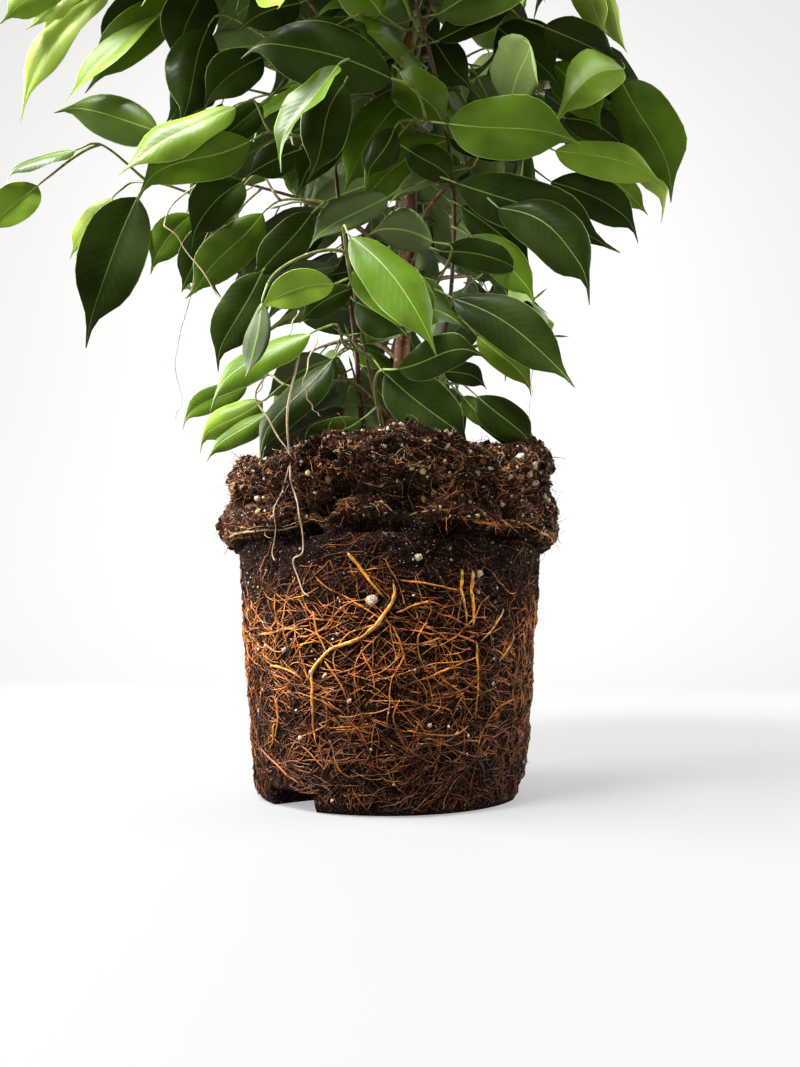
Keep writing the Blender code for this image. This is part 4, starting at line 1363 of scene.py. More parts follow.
# Stretches of stem that show from the front: limb, heights, half width and depth of the clearing
STEM_CLEARINGS = (
    ("right_stem", 0.330, 0.465, 0.0035, 0.09),
    ("trunk", 0.205, 0.262, 0.010, 0.12),
    ("trunk", 0.345, 0.375, 0.006, 0.12),
    ("left_stem", 0.36, 0.43, 0.004, 0.10),
)


def set_blades(rng):
    """The blades of the front sprays, from their table."""
    made = []
    for row in SET_LEAVES:
        base, tip, face = (Vector(row[k:k + 3]) for k in (1, 4, 7))
        arch = rng.uniform(0.05, 0.15)
        made.append(Blade(row[0], base * MM, tip * MM, face.normalized(), row[10] * MM, arch))
    return made


def blade_as_leaf(blade):
    """The plain leaf that fills the same place, for the tests of what touches."""
    chord = blade.tip - blade.base
    along = chord + blade.face * (LEAF_ARCH * chord.length)
    length = along.length
    along = along.normalized()
    face = (blade.face - along * blade.face.dot(along)).normalized()
    return Leaf(blade.base, along, face, length, blade.width)


def clearing(blade):
    """A prism from a set blade towards the front, which no grown leaf may hang in."""
    chord = blade.tip - blade.base
    face = (blade.face - chord * (blade.face.dot(chord) / chord.length_squared)).normalized()
    across = face.cross(chord).normalized()
    spread = blade.width * CLEARING_SHARE
    outline = [blade.base + chord * share + across * (side * spread) for share, side in CLEARING_OUTLINE]
    middle = blade.base + chord * 0.5
    reach = (FRONT_POINT - middle).normalized() * CLEARING_DEPTH
    return closed_tube([[p + reach * 0.04 for p in outline], [p + reach for p in outline]])


def strip_clearing(path, half_width, depth):
    """A flat-sided clearing from a limb's path towards the front, so that no leaf hides the limb."""
    side, rings = Vector((half_width, 0, 0)), []
    for point in path:
        reach = (FRONT_POINT - point).normalized() * depth
        near = reach * 0.07
        rings.append([point + near - side, point + near + side, point + reach + side, point + reach - side])
    return closed_tube(rings)


def hermite(start, start_pull, end, end_pull, steps):
    """Points along a curve that leaves the start by one pull and meets the end by the other."""
    return [
        start * (2 * t**3 - 3 * t**2 + 1) + start_pull * (t**3 - 2 * t**2 + t)
        + end * (-2 * t**3 + 3 * t**2) + end_pull * (t**3 - t**2)
        for t in (k / steps for k in range(steps + 1))
    ]


def points_along(path):
    """Points about WOOD_STEP apart along a path, each with the direction there."""
    made = []
    for a, b in zip(path, path[1:]):
        direction = (b - a).normalized()
        count = max(1, round((b - a).length / WOOD_STEP))
        made += [(a.lerp(b, k / count), direction) for k in range(count)]
    return made


def hang_sprays(blades, paths, rng):
    """(blade, stalk, twig) of each set blade. The twig comes from the nearest wood or earlier twig."""
    wood = [spot for path in paths for spot in points_along(path)]
    sprays = []
    order = sorted(blades, key=lambda b: math.hypot(b.base.x, b.base.y + 0.02))
    for blade in order:
        chord = (blade.tip - blade.base).normalized()
        inward = Vector((-blade.base.x, -blade.base.y, 0)).normalized()
        back = (-chord * 0.75 + inward * 0.35 + UP * rng.uniform(0.15, 0.5) - blade.face * 0.12).normalized()
        knot = blade.base + back * (SPRAY_STALK * rng.uniform(0.75, 1.2))
        best = None
        for place, direction in wood:
            to = knot - place
            distance = to.length
            if distance < 1e-5:
                continue
            turned, sunk = 1 - to.dot(-back) / distance, max(0.0, -to.z)
            cost = (distance + 0.004) * (1 + 0.8 * turned + 0.35 * sunk / distance)
            if best is None or cost < best[0]:
                best = (cost, place, direction, distance)
        _, place, direction, distance = best
        arm = distance * 0.9
        leave = ((knot - place).normalized() + direction * 0.5 + UP * 0.25).normalized()
        twig = hermite(place, leave * arm, knot, -back * arm * 0.8, max(5, round(distance / WOOD_STEP)))
        stalk = hermite(knot, -back * SPRAY_STALK, blade.base, chord * SPRAY_STALK * 0.9, 4)
        wood += points_along(twig[1:])
        sprays.append((blade, stalk, twig))
    return sprays


def kind_of_spray(rng, tip):
    """Sprays at the crown's outline and up in the light are younger and paler; the pale kinds high up also
    stand partly for painted light on the brighter, backlit top of the crown.
    """
    outward = math.hypot(tip.x, tip.y) / crown_radius(tip.z, azimuth_of(tip))
    # partly painted light: the higher and further out a spray, the likelier a pale kind
    light = outward * 0.75 + 0.25 * (tip.z - 0.3) / 0.6
    chance = rng.random()
    if light > 0.72 and chance < 0.16:
        return YOUNG
    if light > 0.50 and chance < 0.32:
        return FRESH
    return GREEN if chance < 0.62 else DEEP


@dataclass
class Grown:
    """All that has grown, ready to be made into pieces."""

    twigs: list  # (points, is a mass's stem), with None for the twig of a set leaf
    blades: list
    stalks: list
    buds: list


def grown_blade(leaf, kind):
    """The blade of a leaf that has grown. Its stalk takes the first share of the leaf's length."""
    start, tip = (
        leaf.base + leaf.along * (share * leaf.length) - leaf.face * (LEAF_ARCH * share**2 * leaf.length)
        for share in (STALK_SHARE, 1.0)
    )
    return Blade(kind, start, tip, leaf.face, leaf.width, GROWN_ARCH)


class Inside:
    """The whole crown as one space, for the short sprays along the boughs and the trunk."""

    shuts_openings = True
    faces = ()
    holds = Space.holds


def spots_of(foliage, twigs):
    """A middle point and the tree of each leaf and of those twigs."""
    made = []
    for leaf in foliage.leaves:
        points = leaf_solid(leaf.form)[0]
        made.append((sum(points, Vector()) / len(points), leaf.tree))
    return made + [(twig.form.points[len(twig.form.points) // 2], twig.tree) for twig in twigs]


def inner_sprays(limbs, all_foliage, ways):
    """Short sprays along the boughs and up the trunk, where the crown is closed, clear of all the rest."""
    placed = [spot for foliage in all_foliage for spot in spots_of(foliage, foliage.twigs)]
    made = []
    for number, limb in enumerate(limbs):
        path, near = limb.points, INNER_REACH
        if limb.name == "trunk":
            path, near = [p for p in path if 0.24 < p.z < 0.82], 0.5
        middle = path[len(path) // 2]
        others = [tree_of(closed_tube(tube_rings(o, CLEARANCE))) for o in limbs if o is not limb]
        others += [tree for spot, tree in placed if (spot - middle).length < near] + ways
        rng = random.Random(INNER_SEED + number)
        spray = Foliage(path, Inside(), others, rng)
        spray.leaf_tries, spray.leaf_spacing = INNER_LEAF_TRIES, INNER_LEAF_SPACING
        spray.add_twigs_along(spray.twigs[0], INNER_TWIG_SPACING, INNER_TWIG_LENGTH)
        for twig in spray.twigs[1:]:
            spray.add_leaves_along(twig, 0.3)
        placed += spots_of(spray, spray.twigs[1:])
        made.append(spray)
    return made


def ways_of(set_ones, limbs):
    """Trees of all that must stay free: the set leaves, what shows them, and what shows the stems."""
    ways = [tree_of(clearing(blade)) for blade in set_ones]
    ways += [tree_of(leaf_solid(blade_as_leaf(blade))) for blade in set_ones]
    for name, low, high, half_width, depth in STEM_CLEARINGS:
        path = next(limb.points for limb in limbs if limb.name == name)
        count = max(2, round((high - low) / 0.03))
        part = [point_at_height(path, low + (high - low) * k / count) for k in range(count + 1)]
        ways.append(tree_of(strip_clearing(part, half_width, depth)))
    return ways


def gather(grown, foliage, inside, rng):
    """Adds a mass's twigs, buds, blades and stalks to all that has grown, and returns its twigs' paths."""
    kinds = {twig: kind_of_spray(rng, twig.form.points[-1]) for twig in foliage.twigs}
    for part in foliage.leaves:
        leaf, kind = part.form, kinds[part.carrier]
        # partly painted shade: inner sprays take only the deep and green kinds, so the inside of the crown is
        # darker
        blade = grown_blade(leaf, min(GREEN, kind) if inside else kind)
        reach = STALK_SHARE * leaf.length
        leave = leaf.along * reach + UP * rng.uniform(0, STALK_LIFT)
        arrive = (blade.tip - blade.base).normalized() * reach
        grown.blades.append(blade)
        grown.stalks.append(hermite(leaf.base, leave, blade.base, arrive, 3))
    paths = []
    for is_stem, points in foliage.prune():
        if is_stem and inside:
            continue
        if is_stem:
            points.insert(0, points[0] - (points[1] - points[0]).normalized() * STEM_SUNK)
        grown.twigs.append((points, is_stem))
        grown.buds.append((points[-1], (points[-1] - points[-2]).normalized()))
        paths.append(points)
    return paths


def grow_crown():
    """Grows each mass by the frame's rule, makes way for the set leaves, and goes on to finer growth."""
    limbs, masses = limbs_and_masses()
    rng = random.Random(FINE_SEED)
    set_ones = set_blades(rng)
    ways, ball = ways_of(set_ones, limbs), tree_of(plain_ball(CLEARANCE))
    shared = [tree_of(closed_tube(tube_rings(limb, CLEARANCE))) for limb in limbs] + [ball]
    all_foliage = []
    for number, mass in enumerate(masses):
        foliage = Foliage(mass.stem, Space(mass, masses), list(shared), random.Random(SEED + number))
        foliage.grow()
        foliage.make_way(ways)
        foliage.grow_finer(random.Random(FINE_SEED + 1 + number))
        all_foliage.append(foliage)
    inner = inner_sprays(limbs, all_foliage, ways + [ball])
    grown = Grown([], [], [], [])
    paths = [limb.points for limb in limbs]
    for number, foliage in enumerate(all_foliage + inner):
        fine = random.Random(TINT_SEED + number)
        paths += gather(grown, foliage, number >= len(all_foliage), fine)
    for blade, stalk, twig in hang_sprays(set_ones, paths, rng):
        grown.blades.append(blade)
        grown.stalks.append(stalk)
        grown.twigs.append((twig, None))
    return grown


# ---------------------------------------------------------------- materials


COLOR, NUMBER = "NodeSocketColor", "NodeSocketFloat"
BLACK, WHITE = (0, 0, 0, 1), (1, 1, 1, 1)


class Nodes:
    """Short ways to add nodes to a tree. An input may be a value or another node's output."""

    def __init__(self, tree):
        self.tree = tree

    def put(self, socket, value):
        if isinstance(value, bpy.types.NodeSocket):
            self.tree.links.new(value, socket)
        else:
            socket.default_value = value

    def add(self, kind, settings=None, **inputs):
        made = self.tree.nodes.new("ShaderNode" + kind)
        for key, value in (settings or {}).items():
            setattr(made, key, value)
        for key, value in inputs.items():
            self.put(made.inputs[key.replace("_", " ")], value)
        return made

    def place(self):
        return self.add("TexCoord").outputs["Object"]

    def noise(self, place, scale, detail, roughness=0.5):
        return self.add("TexNoise", Vector=place, Scale=scale, Detail=detail, Roughness=roughness).outputs[0]

    def mixed(self, share, first, second):
        node = self.add("Mix", {"data_type": "RGBA"})
        for index, value in ((0, share), (6, first), (7, second)):
            self.put(node.inputs[index], value)
        return node.outputs[2]

    def math(self, operation, first, second=0.5):
        node = self.add("Math", {"operation": operation})
        self.put(node.inputs[0], first)
        self.put(node.inputs[1], second)
        return node.outputs[0]

    def ranged(self, value, low, high, to_low=0.0, to_high=1.0):
        limits = {"From_Min": low, "From_Max": high, "To_Min": to_low, "To_Max": to_high}
        return self.add("MapRange", {"interpolation_type": "SMOOTHSTEP"}, Value=value, **limits).outputs[0]


def grain(nodes, given):
    """Two colours in soft patches, broken up by fine specks of a third."""
    place = nodes.place()
    patch = nodes.noise(place, given["Patch Scale"], 5.0, 0.65)
    specks = nodes.add("TexVoronoi", Vector=place, Scale=given["Speck Scale"])
    parts = nodes.add("SeparateColor", Color=specks.outputs["Color"])
    grit = nodes.noise(place, given["Speck Scale"], 4.0, 0.7)
    level = nodes.math("SUBTRACT", 0.68, given["Speck Share"])
    speckled = nodes.ranged(nodes.math("SUBTRACT", grit, level), 0.0, 0.05)
    shade = nodes.mixed(nodes.ranged(patch, 0.40, 0.62), given["Dark"], given["Light"])
    toned = nodes.mixed(parts.outputs[1], nodes.mixed(0.45, shade, given["Dark"]), shade)
    fine = nodes.noise(place, given["Speck Scale"], 3.0)
    height = nodes.math("SUBTRACT", fine, specks.outputs["Distance"])
    return nodes.mixed(speckled, toned, given["Speck"]), height


def fibre(nodes, given):
    """The tint of a root or stalk, which changes along it, with fine dark soil on it, and painted shade that
    darkens it towards the ball's foot.
    """
    place = nodes.place()
    tint = nodes.noise(place, given["Length Scale"], 3.0, 0.6)
    dirt = nodes.noise(place, 420.0, 4.0, 0.7)
    shade = nodes.mixed(nodes.ranged(tint, 0.34, 0.64), given["Dark"], given["Light"])
    soiled = nodes.math("MULTIPLY", nodes.ranged(dirt, 0.48, 0.66), given["Soil Share"])
    height = nodes.add("SeparateXYZ", Vector=place).outputs["Z"]
    # painted shade: lower down the ball the tint is mixed towards the soil's colour
    low = nodes.math("MULTIPLY", nodes.ranged(height, 0.010, 0.090, 1.0, 0.0), given["Foot Shade"])
    return nodes.mixed(soiled, nodes.mixed(low, shade, given["Soil"]), given["Soil"]), dirt


def bark(nodes, given):
    """Long cracks down the wood, pale breathing pores across it, and worn patches."""
    place = nodes.place()
    long_way = nodes.add("Mapping", Vector=place, Scale=(1, 1, 0.16)).outputs[0]
    short_way = nodes.add("Mapping", Vector=place, Scale=(1, 1, 2.6)).outputs[0]
    crack = nodes.noise(long_way, given["Crack Scale"], 5.0, 0.6)
    patch = nodes.noise(place, 70.0, 4.0)
    pores = nodes.add("TexVoronoi", Vector=short_way, Scale=300.0)
    parts = nodes.add("SeparateColor", Color=pores.outputs["Color"])
    chosen = nodes.math("LESS_THAN", parts.outputs[0], given["Pore Share"])
    dot = nodes.ranged(pores.outputs["Distance"], 0.42, 0.22)
    shade = nodes.mixed(nodes.ranged(crack, 0.38, 0.62), given["Dark"], given["Light"])
    shade = nodes.mixed(nodes.ranged(patch, 0.42, 0.62, 0.0, 0.45), shade, given["Dark"])
    return nodes.mixed(nodes.math("MULTIPLY", chosen, dot), shade, given["Pore"]), crack


def blade(nodes, given):
    """Faint veins that run out from the rib, and a soft change of green over the leaf."""
    parts = nodes.add("SeparateXYZ", Vector=nodes.add("UVMap", {"uv_map": "Blade"}).outputs[0])
    off_rib = nodes.math("ABSOLUTE", nodes.math("SUBTRACT", parts.outputs[0], 0.5))
    slanted = nodes.math("SUBTRACT", parts.outputs[1], nodes.math("MULTIPLY", off_rib, 0.42))
    place = nodes.place()
    loose = nodes.noise(place, 45.0, 2.0)
    slanted = nodes.math("ADD", slanted, nodes.math("MULTIPLY", loose, 0.045))
    ripple = nodes.math("SINE", nodes.math("MULTIPLY", slanted, 92.0))
    vein = nodes.ranged(ripple, 0.72, 1.0)
    near_rib = nodes.ranged(off_rib, 0.5, 0.03, 0.25, 1.0)
    vein_share = nodes.math("MULTIPLY", nodes.math("MULTIPLY", vein, near_rib), given["Vein Share"])
    patch = nodes.noise(place, 26.0, 3.0)
    shade = nodes.mixed(nodes.ranged(patch, 0.38, 0.64), given["Blade"], given["Shade"])
    roughly = nodes.noise(place, 900.0, 2.0)
    height = nodes.math("ADD", nodes.math("MULTIPLY", ripple, 0.5), nodes.math("MULTIPLY", roughly, 0.35))
    return nodes.mixed(vein_share, shade, given["Vein"]), height


# Each shared group: what fills it, and its inputs with their defaults
GROUPS = {
    "Grain": (grain, {
        "Dark": BLACK, "Light": WHITE, "Speck": WHITE,
        "Patch Scale": 60.0, "Speck Scale": 600.0, "Speck Share": 0.1,
    }),
    "Fibre": (fibre, {
        "Dark": BLACK, "Light": WHITE, "Soil": BLACK,
        "Length Scale": 90.0, "Soil Share": 0.3, "Foot Shade": 0.0,
    }),
    "Bark": (bark, {"Dark": BLACK, "Light": WHITE, "Pore": WHITE, "Crack Scale": 260.0, "Pore Share": 0.12}),
    "Blade": (blade, {
        "Blade": (0, 0.1, 0, 1), "Vein": (0.1, 0.2, 0, 1), "Shade": (0, 0.05, 0, 1), "Vein Share": 0.3,
    }),
}


def shared_group(name):
    """The shader node group of that name, which puts out a colour and a height."""
    if name in bpy.data.node_groups:
        return bpy.data.node_groups[name]
    build, inputs = GROUPS[name]
    tree = bpy.data.node_groups.new(name, "ShaderNodeTree")
    for label, default in inputs.items():
        kind = COLOR if isinstance(default, tuple) else NUMBER
        tree.interface.new_socket(label, in_out="INPUT", socket_type=kind).default_value = default
    for label, kind in (("Color", COLOR), ("Height", NUMBER)):
        tree.interface.new_socket(label, in_out="OUTPUT", socket_type=kind)
    given, made = tree.nodes.new("NodeGroupInput").outputs, tree.nodes.new("NodeGroupOutput").inputs
    for socket, result in zip((made["Color"], made["Height"]), build(Nodes(tree), given)):
        tree.links.new(result, socket)
    return tree


def fresh_material(name, **finish):
    """A new material with those constants on its shader, the shader, and the ways to add to its nodes."""
    material = bpy.data.materials.new(name)
    material.use_nodes = True
    shader = material.node_tree.nodes["Principled BSDF"]
    for label, value in finish.items():
        shader.inputs[label.replace("_", " ")].default_value = value
    return material, shader, Nodes(material.node_tree)


def new_material(name, group, values, bump=0.3, distance=0.0004, coat=0.0, coat_roughness=0.1, **finish):
    """A material whose colour and height come from a shared group, with its own finish on the shader."""
    finish = {"Coat_Weight": coat, "Coat_Roughness": coat_roughness, **finish}
    material, shader, nodes = fresh_material(name, **finish)
    node = nodes.add("Group", {"node_tree": shared_group(group)})
    for label, value in values.items():
        node.inputs[label].default_value = value if isinstance(value, float) else (*value, 1.0)
    nodes.put(shader.inputs["Base Color"], node.outputs["Color"])
    lifted = nodes.add("Bump", Height=node.outputs["Height"], Strength=bump, Distance=distance)
    nodes.put(shader.inputs["Normal"], lifted.outputs[0])
    return material


def tinted(values, share):
    """A colour made lighter or darker by a share."""
    return tuple(min(1.0, value * share) for value in values)


def grain_material(name, dark, light, speck, scales, share, roughness, specular, **bumps):
    values = {"Dark": dark, "Light": light, "Speck": speck, "Patch Scale": scales[0],
              "Speck Scale": scales[1], "Speck Share": share}
    return new_material(name, "Grain", values, Roughness=roughness, Specular_IOR_Level=specular, **bumps)


def peat_material(name, settings, light):
    dark, speck, scales = settings.peat_dark, (0.36, 0.20, 0.10), (380.0, 950.0)
    return grain_material(name, dark, light, speck, scales, 0.07, 0.95, 0.05, bump=0.9, distance=0.0012)


def crumb_material(name, light):
    dark, speck = tinted(light, 0.35), tinted(light, 1.8)
    return grain_material(name, dark, light, speck, (420.0, 1500.0), 0.05, 0.9, 0.08, bump=0.5)


def perlite_material():
    dark, light, speck = (0.30, 0.20, 0.13), (0.70, 0.58, 0.45), (0.16, 0.08, 0.04)
    return grain_material("Perlite", dark, light, speck, (620.0, 1300.0), 0.14, 0.85, 0.15, bump=1.0)


def root_material(name, light, dark, soil, roughness=0.55, specular=0.22, foot=0.0, scale=80.0):
    # foot sets how much painted shade darkens the root towards the ball's foot
    values = {"Dark": dark, "Light": light, "Soil": (0.016, 0.007, 0.004), "Length Scale": scale,
              "Soil Share": soil, "Foot Shade": foot}
    return new_material(name, "Fibre", values, 0.35, Roughness=roughness, Specular_IOR_Level=specular)


RUST, AMBER, DARK, STRAW, GOLDEN = range(5)


def root_materials(settings):
    """The finishes of the roots, in the order of their numbers."""
    rust, amber, golden = settings.rust_root, settings.amber_root, settings.golden_root
    return [
        # foot is how much painted shade darkens each root towards the ball's foot
        root_material("Rust root", rust, tinted(rust, 0.22), 0.85, foot=0.76),
        root_material("Amber root", amber, tinted(amber, 0.38), 0.6, foot=0.68),
        root_material("Dark root", (0.150, 0.048, 0.017), (0.030, 0.010, 0.004), 0.7, 0.7, 0.10, 0.5),
        root_material("Straw root", (0.55, 0.38, 0.18), (0.26, 0.15, 0.06), 0.5, foot=0.4),
        root_material("Golden root", golden, tinted(golden, 0.34), 0.7, 0.40, 0.42, 0.45, 170.0),
    ]


def bark_material(name, light, dark_share, pore, crack_scale, bump, roughness):
    values = {"Dark": tinted(light, dark_share), "Light": light, "Pore": pore, "Crack Scale": crack_scale,
              "Pore Share": 0.14}
    return new_material(name, "Bark", values, bump, 0.0005, Roughness=roughness, Specular_IOR_Level=0.2)


def leaf_materials(name, blade, rib, under, gloss):
    """The finishes of one kind of leaf: glossy upper side, pale rib and edge, and dull underside. The pale
    edge is partly the leaf's own paler margin and partly a painted highlight.
    """
    upper = {"Blade": blade, "Vein": tinted(rib, 0.6), "Shade": tinted(blade, 0.55), "Vein Share": 0.08}
    pale = {"Dark": tinted(rib, 0.7), "Light": rib, "Soil": tinted(rib, 0.5), "Length Scale": 60.0,
            "Soil Share": 0.2}
    lower = {"Blade": under, "Vein": tinted(under, 1.5), "Shade": tinted(under, 0.75), "Vein Share": 0.22}
    gloss = {"coat": 0.02, "coat_roughness": 0.15, "Roughness": 0.4, "Specular_IOR_Level": gloss}
    return [
        new_material(name + " blade", "Blade", upper, 0.10, 0.0003, **gloss),
        new_material(name + " rib", "Fibre", pale, 0.1, Roughness=0.5, Specular_IOR_Level=0.2),
        new_material(name + " underside", "Blade", lower, 0.14, Roughness=0.62, Specular_IOR_Level=0.16),
    ]


# ---------------------------------------------------------------- settings


def setting(kind, **fixed):
    """A short way to declare settings of one kind, each with its name, description and default."""

    def declared(name, text, default, **more):
        return kind(name=name, description=text, default=default, **fixed, **more)

    return declared


size = setting(FloatProperty, min=0, precision=5, unit="LENGTH", subtype="DISTANCE")
number = setting(IntProperty, min=0)
tint = setting(FloatVectorProperty, size=3, min=0, max=1, subtype="COLOR")
power = setting(FloatProperty, min=0, unit="POWER", subtype="POWER")
glow = setting(FloatProperty, min=0, max=3)
length = setting(FloatProperty, min=10, unit="CAMERA")
angle = setting(FloatProperty, unit="ROTATION", subtype="ANGLE")


class SaplingBallSettings(bpy.types.PropertyGroup):
    """Sizes and colours of the root ball and what lies on it."""

    body_relief: size("Body relief", "How far the peat stands out below the ledge", 0.0013, max=0.004)
    collar_relief: size("Collar relief", "How far the crumbs stand out above the ledge", 0.0036, max=0.006)
    fine_roots: number("Fine roots", "How many thin roots creep over the ball", 3900)
    amber_roots: number("Amber roots", "How many thicker roots creep over the ball", 250)
    hairs: number("Root hairs", "How many fine roots creep over the collar", 1200)
    fibres: number("Fibres", "How many loose fibres stand off the collar", 1900)
    tufts: number("Tufts", "How many tufts of pale fibre stand at the collar's edge", 78)
    crumbs: number("Crumbs", "How many loose crumbs lie on the collar and the top", 11500)
    grains: number("Grains", "How many pale grains are mixed into the peat", 520)
    peat_dark: tint("Dark peat", "The peat in its cracks", (0.005, 0.0025, 0.0018))
    peat_light: tint("Light peat", "The peat on its crumbs", (0.046, 0.021, 0.011))
    matted_peat: tint("Matted peat", "The peat under the mat of roots", (0.017, 0.007, 0.0042))
    rust_root: tint("Rust roots", "The thin roots of the mat", (0.58, 0.175, 0.040))
    amber_root: tint("Amber roots", "The thicker roots of the mat", (0.72, 0.25, 0.04))
    golden_root: tint("Golden roots", "The few roots as thick as a straw", (0.82, 0.34, 0.042))


class SaplingBarkSettings(bpy.types.PropertyGroup):
    """Relief and colours of the trunk, the stems and the boughs."""

    relief: size("Bark relief", "How deep the trunk's cracks are", 0.00042, max=0.002)
    trunk: tint("Trunk", "The trunk's bark", (0.30, 0.14, 0.075))
    stem: tint("Stems", "The thin stems' bark", (0.140, 0.068, 0.030))
    bough: tint("Boughs", "The boughs' bark", (0.23, 0.13, 0.055))
    twig: tint("Twigs", "The green wood of the twigs", (0.20, 0.22, 0.05))
    aerial_root: tint("Aerial roots", "The pale roots that hang from the boughs", (0.55, 0.40, 0.26))


class SaplingFoliageSettings(bpy.types.PropertyGroup):
    """Colours of the leaves."""

    deep: tint("Deep", "The oldest leaves", (0.024, 0.043, 0.0045))
    green: tint("Green", "Full-grown leaves", (0.088, 0.168, 0.007))
    fresh: tint("Fresh", "Leaves of this season", (0.215, 0.360, 0.028))
    young: tint("Young", "The newest leaves", (0.34, 0.47, 0.070))
    stalk: tint("Stalks", "The leaves' stalks", (0.24, 0.34, 0.07))


class SaplingStageSettings(bpy.types.PropertyGroup):
    """The camera and the light."""

    lens: length("Lens", "Focal length of the camera", 26.0)
    camera_tilt: angle("Camera tilt", "How far the camera looks up from straight down", math.radians(99))
    key_power: power("Key light", "Power of the large soft light", 98.0)
    top_power: power("Top light", "Power of the soft light from above", 236.0)
    backdrop_power: power("Backdrop light", "Power of the light on the backdrop", 240.0)
    fill_power: power("Fill light", "Power of the weak light from the other side", 38.0)
    surroundings: glow("Surroundings", "Light from the white room", 0.18)
    room: glow("Room", "Brightness of the white room as it is seen", 0.91)
    floor_glow: glow("Floor glow", "Light of its own that the floor has under the sapling", 0.42)
    wall_glow: glow("Wall glow", "Light of its own that the backdrop has", 0.75)
    floor: tint("Floor", "The plain pale floor", (0.11, 0.11, 0.11))


# ---------------------------------------------------------------- operators


@lru_cache(maxsize=1)
def skin_of(body_relief, collar_relief):
    return Skin(body_relief, collar_relief)


def ball_skin(context):
    settings = context.scene.sapling_ball
    return skin_of(settings.body_relief, settings.collar_relief)


class SAPLING_OT_root_ball(bpy.types.Operator):
    """Make the root ball's skin of peat, as the pot cast it"""

    bl_idname = "sapling.root_ball"
    bl_label = "Root Ball"

    def execute(self, context):
        settings = context.scene.sapling_ball
        skin = ball_skin(context)
        first = skin.first_collar_row
        for name, start, end, finish, light in (
            ("root_ball_body", 0, first + 1, "Matted peat", settings.matted_peat),
            ("root_ball_collar", first, len(skin.rows), "Peat", settings.peat_light),
        ):
            skin.piece(name, start, end, peat_material(finish, settings, light), ["root_ball"])
        return {"FINISHED"}


def creeping_mats(skin, settings, materials, rng):
    """Five layers of thin roots, which leave the drain slots and a few bare patches free."""
    half, amber = settings.fine_roots // 2, settings.amber_roots
    ledge, collar = (LEDGE_HEIGHT - 0.0022, LEDGE_HEIGHT + 0.0025), (0.1425, 0.1915)
    mats = (
        ("fine_1", half, 10, 0.0026, (0.00018, 0.00036), (0.003, 0.137), (0.50, 0.07, 0.42, 0.01)),
        ("fine_2", half, 9, 0.0024, (0.00020, 0.00038), (0.003, 0.122), (0.56, 0.09, 0.34, 0.01)),
        ("amber", amber, 15, 0.0029, (0.00030, 0.00056), (0.022, 0.124), (0.52, 0.34, 0.13, 0.01)),
        ("ledge", amber // 2, 16, 0.0026, (0.00014, 0.00030), ledge, (0.35, 0.25, 0.20, 0.20)),
        ("hairs", settings.hairs, 10, 0.0017, (0.00009, 0.00017), collar, (0.26, 0.08, 0.44, 0.22)),
    )
    for name, count, steps, step, radii, heights, shares in mats:
        tubes = Tubes(5 if name == "amber" else 3)
        level = 1.0 if name == "ledge" else 0.55
        paths, sizes, normals = wandering_roots(rng, skin, count, steps, step, radii, heights, level)
        kinds = rng.choice(4, count, p=shares)
        middles = paths[:, steps // 2]
        # painted shade: most roots in the band under the ledge take the dark root's finish
        in_painted_shade_band = (middles[:, 2] > PAINTED_SHADE_BAND[0]) & (middles[:, 2] < PAINTED_SHADE_BAND[1])
        kinds = np.where(in_painted_shade_band & (rng.random(count) < 0.85), DARK, kinds)
        for path, size, normal, kind, middle in zip(paths, sizes, normals, kinds, middles):
            off_break = abs(angle_from(azimuth_of(Vector(middle)), BREAK_AZIMUTH + 4))
            bare = name == "fine_1" and noise.noise(Vector(middle) * 44) < -0.12
            if not (bare or crosses_slot(path) or name == "ledge" and off_break < 34):
                tubes.add(path, size, kind, reference=normal[0])
        tubes.piece("root_mat_" + name, materials, "soil")


def thick_roots(skin, materials, rng):
    """The roots that stand out on the ball, each along its own row of places."""
    tubes = Tubes(8)
    for table, kind in ((GOLDEN_ROOTS[:6], GOLDEN), (GOLDEN_ROOTS[6:], AMBER), (COLLAR_ROOTS, STRAW)):
        for spots, radius in table:
            azimuths, heights = (smooth_path([(s[k], 0, 0) for s in spots], 7)[:, 0] for k in (0, 1))
            places, normals = skin.at(azimuths, heights * MM)
            share = np.linspace(0, 1, len(places))
            size = radius * MM * (1.0 - 0.45 * share) * (1 + 0.12 * np.sin(share * 37))
            size *= np.clip(np.minimum(share / 0.10, (1 - share) / 0.16), 0.12, 1) ** 0.6
            size *= 1 + 0.10 * rng.normal(size=len(share))
            stand = size * 0.45 + 0.0004
            stand[[0, -1]] = -size[[0, -1]]
            places = places + normals * stand[:, None] + rng.normal(0, 0.00022, places.shape)
            places[1:-1] = (places[:-2] + 2 * places[1:-1] + places[2:]) / 4
            tubes.add(places, size, kind, reference=normals[0])
    tubes.piece("root_mat_thick", materials, "soil")


class SAPLING_OT_root_mat(bpy.types.Operator):
    """Lay the mat of roots over the root ball"""

    bl_idname = "sapling.root_mat"
    bl_label = "Root Mat"

    def execute(self, context):
        settings = context.scene.sapling_ball
        skin, materials = ball_skin(context), root_materials(settings)
        rng = np.random.default_rng(MAT_SEED)
        creeping_mats(skin, settings, materials, rng)
        thick_roots(skin, materials, rng)
        return {"FINISHED"}


CRUMB_TINTS = (
    ("Black crumbs", (0.010, 0.005, 0.003)), ("Brown crumbs", (0.060, 0.026, 0.013)),
    ("Red crumbs", (0.160, 0.055, 0.024)), ("Tan crumbs", (0.52, 0.33, 0.17)),
    ("Pale crumbs", (0.78, 0.68, 0.54)),
)


